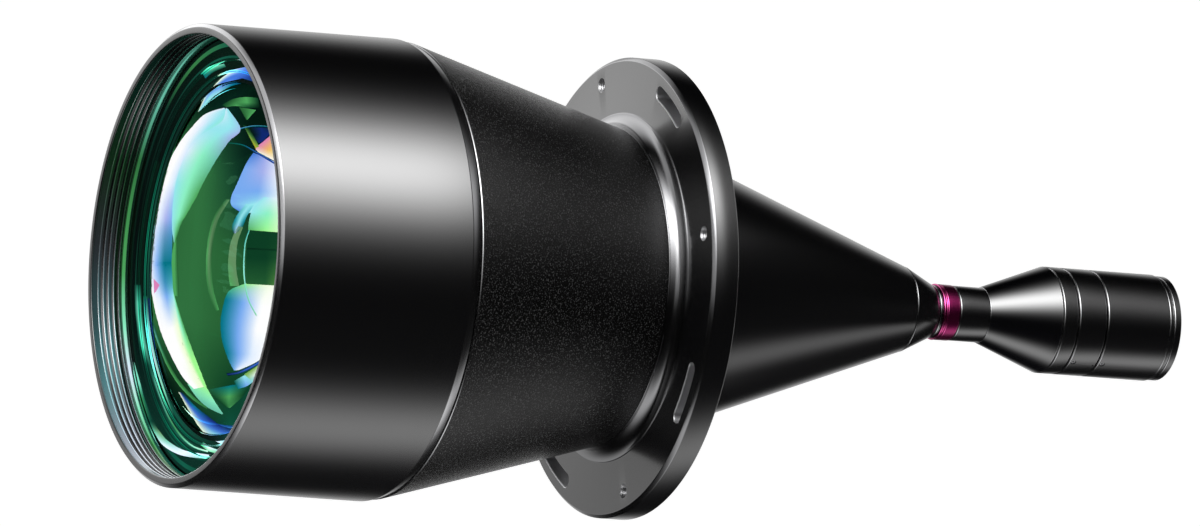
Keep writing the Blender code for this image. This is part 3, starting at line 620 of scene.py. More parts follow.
class LENS_OT_hood(bpy.types.Operator):
    """Front hood with its rim, bore and mouth crests"""

    bl_idname = "lens.hood"
    bl_label = "Hood"

    def execute(self, context):
        size = sizes()
        front, rear = y_range("front_hood")
        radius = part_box("front_hood")[1].x
        mouth = radius - size.rim_chamfer - size.rim_face
        groove = mouth + size.groove_depth
        groove_start = front + size.crest_start
        groove_width = size.crest_pitch - size.crest_width
        groove_end = groove_start + 3 * size.crest_pitch + groove_width
        lip = mouth - 0.4 * MM
        lip_round = 0.3 * MM
        lip_end, wall_start = front + 0.8 * MM, front + 1.2 * MM
        bevel_length, bevel_depth = 4.1 * MM, 1.2 * MM
        band_width, band_gap = 2.4 * MM, 3.0 * MM
        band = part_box("front_retaining_ring")[0].y - band_gap
        outline = [
            (lip + lip_round, front),
            (radius - size.rim_chamfer, front),
            (radius, front + size.rim_chamfer),
            (radius, rear - bevel_length),
            (radius - bevel_depth, rear),
            (mouth, rear),
            (mouth, band + band_width),
            (mouth, band),
            (mouth, groove_end),
            (groove, groove_end),
            (groove, groove_start),
            (mouth, groove_start),
            (mouth, wall_start),
            (lip, lip_end),
            (lip, front + lip_round),
        ]
        chamfer, bevel, polished_band = 1, 3, 6
        looks = material_set()
        turned("hood_shell", outline, looks["satin"], "front_hood",
               bright=(chamfer, bevel, polished_band), edges=False)
        overlap = 0.1 * MM
        values = {
            "Radius": mouth + size.groove_depth / 2,
            "Width": size.crest_width,
            "Depth": size.groove_depth + overlap,
            "Start": groove_start + overlap - size.crest_width / 2,
            "Pitch": size.crest_pitch,
            "Count": 5,
            "Material": looks["edge"],
        }
        mesh = evaluated("mouth_crests", crest_tree(), values)
        add_piece("mouth_crests", mesh, looks["edge"], [])
        return {"FINISHED"}


class LENS_OT_front_glass(bpy.types.Operator):
    """Retaining ring, domed front glass and the glass and rings behind it"""

    bl_idname = "lens.front_glass"
    bl_label = "Front glass"

    def execute(self, context):
        looks = material_set()
        curve = sizes().dome_radius
        low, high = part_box("front_retaining_ring")
        outer, face, seat = high.x, low.y, high.y
        lens_low, lens_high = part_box("front_lens")
        edge = lens_high.x
        clear = 76.0 * MM
        gap = 0.4 * MM
        step = RING_STEP * MM
        outer_terrace, inner_terrace = outer - 9.5 * MM, outer - 14.5 * MM

        def glass_y(radius):
            return lens_low.y + sag(radius, curve)

        ring = [
            (outer, face),
            (outer, seat),
            (edge, seat),
            (edge, glass_y(edge) - gap),
            (clear, glass_y(clear) - gap),
            (clear, face + 2 * step),
            (inner_terrace - step, face + 2 * step),
            (inner_terrace, face + step),
            (outer_terrace - step, face + step),
            (outer_terrace, face),
        ]
        # The ring's broken edges take the teal tint, a painted reflection of the green glass
        turned("retaining_ring", ring, looks["cell_gloss"], "front_retaining_ring",
               edge=looks["teal_edge"])
        steps = 56
        dome = [(edge * step / steps, glass_y(edge * step / steps)) for step in range(steps + 1)]
        dome += [(edge, lens_high.y), (0.0, lens_high.y)]
        turned("front_dome", dome, looks["coated_front"], "front_lens", size=0.0)
        dress(("doublet_crown", "doublet_flint"), looks["coated_inner"])
        inside = ("lens_cell", "lens_spacer", "front_baffle", "rear_baffle", "aperture_stop")
        dress(inside, looks["flat_black"])
        return {"FINISHED"}


class LENS_OT_front_cone(bpy.types.Operator):
    """Crinkle-finished cone between the hood and the flange"""

    bl_idname = "lens.front_cone"
    bl_label = "Front cone"

    def execute(self, context):
        low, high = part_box("front_cone")
        hood_gap, flange_gap = 0.6 * MM, 0.3 * MM
        front = y_range("front_hood")[1] + hood_gap
        rear = y_range("mounting_flange")[0] - flange_gap
        spigot, spigot_bore = 95.5, 92.0
        lip, widest, lip_depth = 98.5, 99.0, 0.7
        rear_spigot, wall = 65.8, 4.5
        outline = [
            *points_from(low.y, (spigot_bore, 0.0), (spigot, 0.0)),
            *points_from(front, (spigot, 0.0), (lip, 0.0), (widest, lip_depth)),
            *points_from(rear, (CONE_END, 0.0), (rear_spigot, 0.0)),
            *points_from(high.y, (rear_spigot, 0.0), (CONE_BORE, 0.0)),
            *points_from(rear, (CONE_BORE, -wall)),
            *points_from(front, (spigot_bore, wall)),
        ]
        lip_edge = 3
        # The crinkle finish carries painted highlights on its raised dots and painted shade in its
        # hollows
        turned("front_cone_shell", outline, material_set()["crinkle"],
               "front_cone", bright=(lip_edge,), edges=False)
        return {"FINISHED"}


def slot_outline(extra):
    """A slot's outline as (radius direction, across) pairs, grown outward by a margin."""
    size = sizes()
    half = size.slot_width / 2 + extra
    pitch = size.pattern_radius
    sweep = math.radians(14.4)
    side_steps, end_steps = 12, 16
    made = []
    for step in range(side_steps + 1):
        angle = -sweep / 2 + sweep * step / side_steps
        made.append(((pitch + half) * math.sin(angle), (pitch + half) * math.cos(angle)))
    for side, start in ((1, 0.0), (-1, math.pi)):
        centre = (pitch * math.sin(side * sweep / 2), pitch * math.cos(sweep / 2))
        for step in range(1, end_steps):
            turn = side * sweep / 2 + start + math.pi * step / end_steps
            made.append((centre[0] + half * math.sin(turn), centre[1] + half * math.cos(turn)))
        if side == 1:
            for step in range(side_steps + 1):
                angle = sweep / 2 - sweep * step / side_steps
                made.append(((pitch - half) * math.sin(angle), (pitch - half) * math.cos(angle)))
    return made


def hole_outline(radius):
    """A round hole's outline at the pattern radius, above the axis."""
    pitch = sizes().pattern_radius
    steps = 48
    angles = [2 * math.pi * step / steps for step in range(steps)]
    return [(radius * math.sin(angle), pitch + radius * math.cos(angle)) for angle in angles]


def lofted(name, sections):
    """A closed mesh through sections, each a y and an outline of (x, z) points."""
    count = len(sections[0][1])
    vertices = [(x, y, z) for y, outline in sections for x, z in outline]
    faces = [list(range(count)), list(range(len(vertices) - count, len(vertices)))]
    for layer in range(len(sections) - 1):
        for index in range(count):
            other = (index + 1) % count
            base = layer * count
            faces.append([base + index, base + other, base + count + other, base + count + index])
    mesh = bpy.data.meshes.new(name)
    mesh.from_pydata(vertices, [], faces)
    return placed(name, outward(mesh))


def drilled(mesh, cutters, material_mode="INDEX"):
    """A mesh with the cutters' shapes taken out of it, and the cutters removed."""
    blank = placed("blank", mesh)
    for cutter in cutters:
        boolean = blank.modifiers.new("cut", "BOOLEAN")
        boolean.operation = "DIFFERENCE"
        boolean.solver = "EXACT"
        boolean.material_mode = material_mode
        boolean.object = cutter
    bpy.context.view_layer.update()
    depsgraph = bpy.context.evaluated_depsgraph_get()
    made = bpy.data.meshes.new_from_object(blank.evaluated_get(depsgraph))
    bpy.data.objects.remove(blank)
    for cutter in cutters:
        bpy.data.objects.remove(cutter)
    return made


class LENS_OT_flange(bpy.types.Operator):
    """Mounting flange with its cove, slots and threaded holes"""

    bl_idname = "lens.flange"
    bl_label = "Mounting flange"

    def execute(self, context):
        looks = material_set()
        low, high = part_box("mounting_flange")
        radius, start = high.x, low.y
        face = -12.4 * MM
        cove_start, cove_end, cove_steps = CONE_END * MM, 75.8 * MM, 16
        cove_width, cove_depth = 6.2 * MM, 5.9 * MM
        cove = []
        for step in range(cove_steps + 1):
            turn = math.pi / 2 * step / cove_steps
            reach = cove_start + cove_width * (1.0 - math.cos(turn))
            cove.append((reach, start + cove_depth * math.sin(turn)))
        socket_radius, socket_depth = 66.1, 7.8
        rear_socket, rear_depth = 65.3, 1.5
        chamfer, rear_chamfer = 1.5 * MM, 0.5 * MM
        outline = [
            *points_from(start, (socket_radius, 0.0)),
            *cove,
            (cove_end, face),
            (radius - chamfer, face),
            (radius, face + chamfer),
            (radius, -rear_chamfer),
            (radius - rear_chamfer, 0.0),
            *points_from(0.0, (rear_socket, 0.0), (rear_socket, -rear_depth)),
            *points_from(0.0, (CONE_BORE, -rear_depth)),
            *points_from(start, (CONE_BORE, socket_depth), (socket_radius, socket_depth)),
        ]
        polished = (*range(1, cove_steps + 2), cove_steps + 3)
        mesh = turned_mesh("flange_shell", rounded(outline, 0.2 * MM, bright=polished), SIDES)
        for name in ("flange_satin", "edge"):
            mesh.materials.append(looks[name])
        tree = pattern_tree()
        for cutter, first in ((self.slot(face), 0.0), (self.hole(face), math.pi / 4)):
            name = cutter.name + "_pattern"
            values = {"Cutter": cutter, "Count": 4, "First angle": first,
                      "Material": looks["bore"]}
            pattern = placed(name, evaluated(name, tree, values))
            mesh = drilled(mesh, [pattern], "TRANSFER")
            bpy.data.objects.remove(cutter)
        add_piece(
            "flange_shell", mesh, looks["flange_satin"], ["mounting_flange"],
            third=looks["bore"], edge=looks["polished_black"], sharp=24.0,
        )
        return {"FINISHED"}

    def slot(self, face):
        """The cutter of one curved slot, wider at both mouths."""
        cham = sizes().pattern_chamfer
        narrow, wide = slot_outline(0.0), slot_outline(2 * cham)
        sections = [(face - cham, wide), (face + cham, narrow), (-cham, narrow), (cham, wide)]
        return lofted("slot_cutter", sections)

    def hole(self, face):
        """The cutter of one threaded hole, wider at both mouths."""
        cham = sizes().pattern_chamfer
        bore = sizes().hole_diameter / 2
        turns, crest, crest_offset = 12, 0.3 * MM, 0.5 * MM
        sections = [(face - cham, hole_outline(bore + 2 * cham))]
        for turn in range(turns):
            y = face + cham + (-face - 2 * cham) * turn / turns
            sections.append((y, hole_outline(bore)))
            sections.append((y + crest_offset, hole_outline(bore - crest)))
        sections.append((-cham, hole_outline(bore)))
        sections.append((cham, hole_outline(bore + 2 * cham)))
        return lofted("hole_cutter", sections)


class LENS_OT_rear_cone(bpy.types.Operator):
    """Smooth rear cone and its steeper nose"""

    bl_idname = "lens.rear_cone"
    bl_label = "Rear cone and nose"

    def execute(self, context):
        satin = material_set()["satin"]
        low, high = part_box("rear_cone")
        spigot, spigot_bore, collar, collar_depth = 62.0, 58.5, 65.0, 1.2
        cone_start, wall_start = 0.3, 4.3
        end_bore, end_depth = 14.8, 6.3
        outline = [
            *points_from(low.y, (spigot_bore, 0.0), (spigot, 0.0)),
            *points_from(0.0, (spigot, -collar_depth), (collar, -collar_depth), (collar, cone_start)),
            *points_from(high.y, (NOSE_START, 0.0), (end_bore, 0.0), (end_bore, -end_depth)),
            *points_from(0.0, (spigot_bore, wall_start)),
        ]
        turned("rear_cone_shell", outline, satin, "rear_cone")
        low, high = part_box("nose_cone")
        spigot, spigot_bore, spigot_length = 14.5, 12.5, 6.0
        nose_end, socket_depth = 11.5, 8.3
        outline = [
            *points_from(low.y, (spigot_bore, 0.0), (spigot, 0.0)),
            *points_from(low.y, (spigot, spigot_length), (NOSE_START, spigot_length)),
            *points_from(high.y, (nose_end, 0.0), (NECK_SOCKET, 0.0), (NECK_SOCKET, -socket_depth)),
            *points_from(high.y, (LIGHT_BORE, -socket_depth)),
        ]
        turned("nose_shell", outline, satin, "nose_cone", sides=SMALL_SIDES,
               size=0.35 * MM)
        return {"FINISHED"}


class LENS_OT_neck(bpy.types.Operator):
    """Lock ring, coloured aperture ring and the neck behind it"""

    bl_idname = "lens.neck"
    bl_label = "Neck and rings"

    def execute(self, context):
        looks = material_set()
        small = sizes().small_round
        front, rear = y_range("lock_ring")
        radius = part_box("lock_ring")[1].x
        inner = NECK_SOCKET * MM
        outline = [(inner, front), (radius, front), (radius, rear), (inner, rear)]
        turned("lock_ring_shell", outline, looks["gloss"], "lock_ring",
               sides=SMALL_SIDES, size=0.3 * MM)
        front, rear = y_range("aperture_ring")
        lip = ((12.1, 0.0), (12.3, 0.2), (12.3, 0.6))
        dip = ((11.7, 1.1), (11.6, 1.5), (12.0, 1.9))
        body, rear_edge, edge_depth = 12.2, 11.95, 0.25
        outline = [
            *points_from(front, (NECK_SOCKET, 0.0), *lip, *dip, (body, 2.1)),
            *points_from(rear, (body, -edge_depth), (rear_edge, 0.0), (NECK_SOCKET, 0.0)),
        ]
        # The rounded edges of the aperture ring take the brighter magenta, a painted highlight
        turned("aperture_ring_shell", outline, looks["magenta"],
               "aperture_ring", sides=SMALL_SIDES, size=small, edge=looks["magenta_edge"])
        low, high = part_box("neck_tube")
        gap = 0.3 * MM
        front = y_range("aperture_ring")[1] + gap
        rear = y_range("rear_taper")[0] - gap
        tube, sleeve, chamfer = 9.8, 12.0, 0.5
        outline = [
            *points_from(low.y, (LIGHT_BORE, 0.0), (tube, 0.0)),
            *points_from(front, (tube, 0.0), (sleeve - chamfer, 0.0), (sleeve, chamfer)),
            *points_from(rear, (sleeve, 0.0), (tube, 0.0)),
            *points_from(high.y, (tube, 0.0), (LIGHT_BORE, 0.0)),
        ]
        turned("neck_shell", outline, looks["satin"], "neck_tube",
               sides=SMALL_SIDES, size=small)
        return {"FINISHED"}


def radial_cutter(name, radius, y, azimuth, inner, outer):
    """A closed cylinder across the axis, at an angle from +Z towards +X."""
    shape = bmesh.new()
    bmesh.ops.create_cone(shape, cap_ends=True, segments=24, radius1=radius, radius2=radius,
                          depth=outer - inner)
    place = Matrix.Rotation(math.radians(azimuth), 4, "Y")
    place = place @ Matrix.Translation((0.0, y, (inner + outer) / 2))
    bmesh.ops.transform(shape, matrix=place, verts=shape.verts)
    mesh = bpy.data.meshes.new(name)
    shape.to_mesh(mesh)
    shape.free()
    return placed(name, mesh)


class LENS_OT_barrel(bpy.types.Operator):
    """Rear taper, rings, barrel and camera ring"""

    bl_idname = "lens.barrel"
    bl_label = "Rear barrel"

    def execute(self, context):
        looks = material_set()
        self.taper(looks["gloss"])
        self.rings(looks["satin"])
        self.camera_ring(looks["satin"])
        dress(("rear_lens_first", "rear_lens_second"), looks["coated_rear"])
        dress(("rear_lens_spacer", "rear_retaining_ring"), looks["flat_black"])
        dress(("adjusting_set_screw", "barrel_set_screw"), looks["steel"])
        return {"FINISHED"}

    def taper(self, material):
        """The gloss cone that widens towards the barrel."""
        low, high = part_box("rear_taper")
        gap = 0.3 * MM
        rear = y_range("taper_collar")[0] - gap
        seat = y_range("adjusting_ring")[0]
        front_radius, chamfer = 12.2, 0.4
        sleeve, sleeve_bore, seat_bore = 20.2, 18.0, 16.2
        wall_start, socket_depth = 6.3, 3.3
        outline = [
            *points_from(low.y, (NECK_SOCKET, 0.0), (front_radius, 0.0)),
            *points_from(rear, (BARREL, -chamfer), (BARREL - chamfer, 0.0), (sleeve, 0.0)),
            *points_from(high.y, (sleeve, 0.0), (sleeve_bore, 0.0)),
            *points_from(seat, (sleeve_bore, 0.0), (seat_bore, 0.0)),
            *points_from(low.y, (LIGHT_BORE, wall_start), (LIGHT_BORE, socket_depth)),
            *points_from(low.y, (NECK_SOCKET, socket_depth)),
        ]
        turned("taper_shell", outline, material, "rear_taper",
               sides=SMALL_SIDES, size=sizes().small_round)

    def rings(self, material):
        """The three rings of one radius, with their screw holes and the index dot."""
        radius, bore = BARREL * MM, 20.5 * MM
        chamfer, barrel_chamfer = 0.4 * MM, 0.1 * MM
        screw_radius, screw_azimuth, screw_bottom = 1.2 * MM, 110.2, bore - 1.0 * MM
        screw_hole = (2.1 * MM, screw_radius, screw_azimuth, screw_bottom)
        barrel_hole = (2.2 * MM, screw_radius, screw_azimuth, screw_bottom)
        index_dot = (12.0 * MM, 0.45 * MM, 113.3, radius - 0.4 * MM)
        rings = (
            ("collar_shell", "taper_collar", chamfer, ()),
            ("adjusting_shell", "adjusting_ring", chamfer, (screw_hole, index_dot)),
            ("barrel_shell", "rear_barrel", barrel_chamfer, (barrel_hole,)),
        )
        for name, node, rear_chamfer, holes in rings:
            front, rear = y_range(node)
            outline = [
                (bore, front),
                (radius - chamfer, front),
                (radius, front + chamfer),
                (radius, rear - rear_chamfer),
                (radius - rear_chamfer, rear),
                (bore, rear),
            ]
            mesh = turned_mesh(name, rounded(outline, sizes().small_round), SMALL_SIDES)
            cutters = []
            for place, hole, azimuth, bottom in holes:
                cutters.append(
                    radial_cutter(name + "_drill", hole, front + place, azimuth, bottom,
                                  radius + 2.0 * MM)
                )
            if cutters:
                mesh = drilled(mesh, cutters)
            add_piece(name, mesh, material, [node], sharp=24.0)

    def camera_ring(self, material):
        """The grooved end ring, a little wider than its CAD node."""
        low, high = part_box("camera_ring")
        outer = high.x + 0.6 * MM
        front = low.y + 6.0 * MM
        bore, spigot = 18.2 * MM, 20.2 * MM
        chamfer, groove_depth = 0.3 * MM, 0.6 * MM
        groove_start, groove_end = front + 1.7 * MM, front + 2.3 * MM
        outline = [
            (bore, low.y),
            (spigot, low.y),
            (spigot, front),
            (outer - chamfer, front),
            (outer, front + chamfer),
            (outer, groove_start),
            (outer - groove_depth, groove_start),
            (outer - groove_depth, groove_end),
            (outer - chamfer, groove_end),
            (outer, groove_end + chamfer),
            (outer, high.y - chamfer),
            (outer - chamfer, high.y),
            (bore, high.y),
        ]
        turned("camera_ring_shell", outline, material, "camera_ring",
               sides=SMALL_SIDES, size=sizes().small_round)


# Studio


def hide_from_all_but_gloss(item):
    """Lets only mirrored rays see a card."""
    item.visible_camera = False
    item.visible_diffuse = False
    item.visible_transmission = False
    item.visible_shadow = False
    item.visible_volume_scatter = False


# What a strip of light is given by: angles in degrees, places along the axis in metres
STRIP_INPUTS = (
    "Angle", "Half Width", "Sharpness", "Front", "Front Fade", "Rear Fade", "Rear", "Strength",
)


def strip_group():
    """A shared group: a soft strip of light along the tent, at an angle round the axis."""
    name = "soft_strip"
    if name in bpy.data.node_groups:
        return bpy.data.node_groups[name]
    group = bpy.data.node_groups.new(name, "ShaderNodeTree")
    for label in STRIP_INPUTS:
        socket(group, label, "NodeSocketFloat")
    socket(group, "Light", "NodeSocketFloat", "OUTPUT")
    nodes, links = group.nodes, group.links
    given = nodes.new("NodeGroupInput")
    result = nodes.new("NodeGroupOutput")
    place = nodes.new("ShaderNodeTexCoord")
    parts = nodes.new("ShaderNodeSeparateXYZ")
    links.new(place.outputs["Object"], parts.inputs["Vector"])

    def calculate(operation, *values):
        node = nodes.new("ShaderNodeMath")
        node.operation = operation
        for index, value in enumerate(values):
            if isinstance(value, (int, float)):
                node.inputs[index].default_value = value
            else:
                links.new(value, node.inputs[index])
        return node.outputs["Value"]

    def fade(low, high):
        node = nodes.new("ShaderNodeMapRange")
        node.interpolation_type = "SMOOTHSTEP"
        links.new(parts.outputs["Y"], node.inputs["Value"])
        links.new(given.outputs[low], node.inputs["From Min"])
        links.new(given.outputs[high], node.inputs["From Max"])
        return node.outputs["Result"]

    angle = calculate("ARCTAN2", parts.outputs["Z"], parts.outputs["X"])
    away = calculate("SUBTRACT", angle, given.outputs["Angle"])
    away = calculate("ABSOLUTE", calculate("WRAP", away, math.pi, -math.pi))
    share = calculate("DIVIDE", away, given.outputs["Half Width"])
    power = calculate("POWER", share, given.outputs["Sharpness"])
    halving = -0.6931
    across = calculate("EXPONENT", calculate("MULTIPLY", power, halving))
    along = calculate("MULTIPLY", fade("Front", "Front Fade"),
                      calculate("SUBTRACT", 1.0, fade("Rear Fade", "Rear")))
    light = calculate("MULTIPLY", calculate("MULTIPLY", across, along), given.outputs["Strength"])
    links.new(light, result.inputs["Light"])
    return group


# Strips of the tent, each with the values of STRIP_INPUTS
STRIPS = (
    (77.5, 18.0, 2.0, -1.9, -1.4, 0.40, 0.55, 6.2),
    (80.0, 20.0, 2.0, -1.9, -1.4, 1.5, 2.0, 0.68),
    (-54.0, 15.0, 2.2, -1.6, -1.2, 1.0, 1.5, 1.3),
    (-51.0, 12.0, 2.2, 1.0, 1.5, 3.4, 3.8, 0.65),
    (-158.0, 29.0, 4.0, -0.95, -0.85, 3.4, 3.9, 0.72),
    (102.0, 72.0, 8.0, -3.4, -2.9, -1.0, -0.62, 0.85),
    (178.0, 24.0, 4.0, -1.0, -0.9, -0.1, 0.1, 1.3),
)


def tent_material():
    """Black cloth with soft strips of light."""
    material, tree, output = bare_material("light_tent")
    glow = tree.nodes.new("ShaderNodeEmission")
    total, label = None, "Light"
    for values in STRIPS:
        strip = tree.nodes.new("ShaderNodeGroup")
        strip.node_tree = strip_group()
        for name, value in zip(STRIP_INPUTS, values):
            turn = name in ("Angle", "Half Width")
            strip.inputs[name].default_value = math.radians(value) if turn else value
        if total is None:
            total = strip
            continue
        add = tree.nodes.new("ShaderNodeMath")
        wire(tree, (total, label, add, 0), (strip, "Light", add, 1))
        total, label = add, "Value"
    wire(tree, (total, label, glow, "Strength"), (glow, "Emission", output, "Surface"))
    return material


# Colours of the glints in the coated glass, as seen
WHITE = (255, 255, 255)
ICE = (225, 238, 255)
LAVENDER = (165, 175, 235)
SKY = (120, 170, 240)
BLUE = (60, 110, 205)
NAVY = (18, 40, 110)
TEAL = (0, 112, 128)
CYAN = (150, 230, 238)
MINT = (140, 240, 195)
FOAM = (105, 190, 165)
LEAF = (160, 250, 145)
GREEN = (78, 165, 92)
FERN = (48, 112, 62)
GRASS = (36, 90, 48)
FOREST = (12, 58, 34)
DEEP = (4, 24, 16)
INK = (8, 42, 34)
SEA = (16, 84, 66)
MOSS = (100, 142, 98)
OLIVE = (120, 170, 75)
YELLOW = (205, 185, 40)
CREAM = (240, 255, 215)
ORANGE = (240, 190, 100)
PINK = (220, 130, 185)
SOOT = (3, 16, 12)
PITCH = (2, 8, 7)
COAL = (3, 16, 14)

# The two crescent glints, painted reflections, show on the glass and on the ring round it
CRESCENT_UPPER = (
    ((198, 112), (206.5, 94), (217.5, 80), (231, 71), (247, 67)),
    ((200.5, 110), (211, 99), (219.5, 92.5), (233, 85.5), (252, 81.5)),
    ((CREAM, CYAN, CYAN), (CREAM, SKY, CYAN, CYAN), (CREAM, BLUE, SKY, CYAN),
     (ICE, BLUE, BLUE, TEAL), (BLUE, BLUE, NAVY, NAVY)),
)
CRESCENT_LOWER = (
    ((178.5, 392), (188, 409), (200, 428), (214, 441), (232, 447)),
    ((183, 393), (195, 406), (210, 418), (222, 426), (240, 430)),
    ((CREAM, NAVY, INK), (CREAM, BLUE, TEAL), (CREAM, BLUE, NAVY), (ICE, CYAN, BLUE, NAVY),
     (MINT, SKY, BLUE, INK)),
)

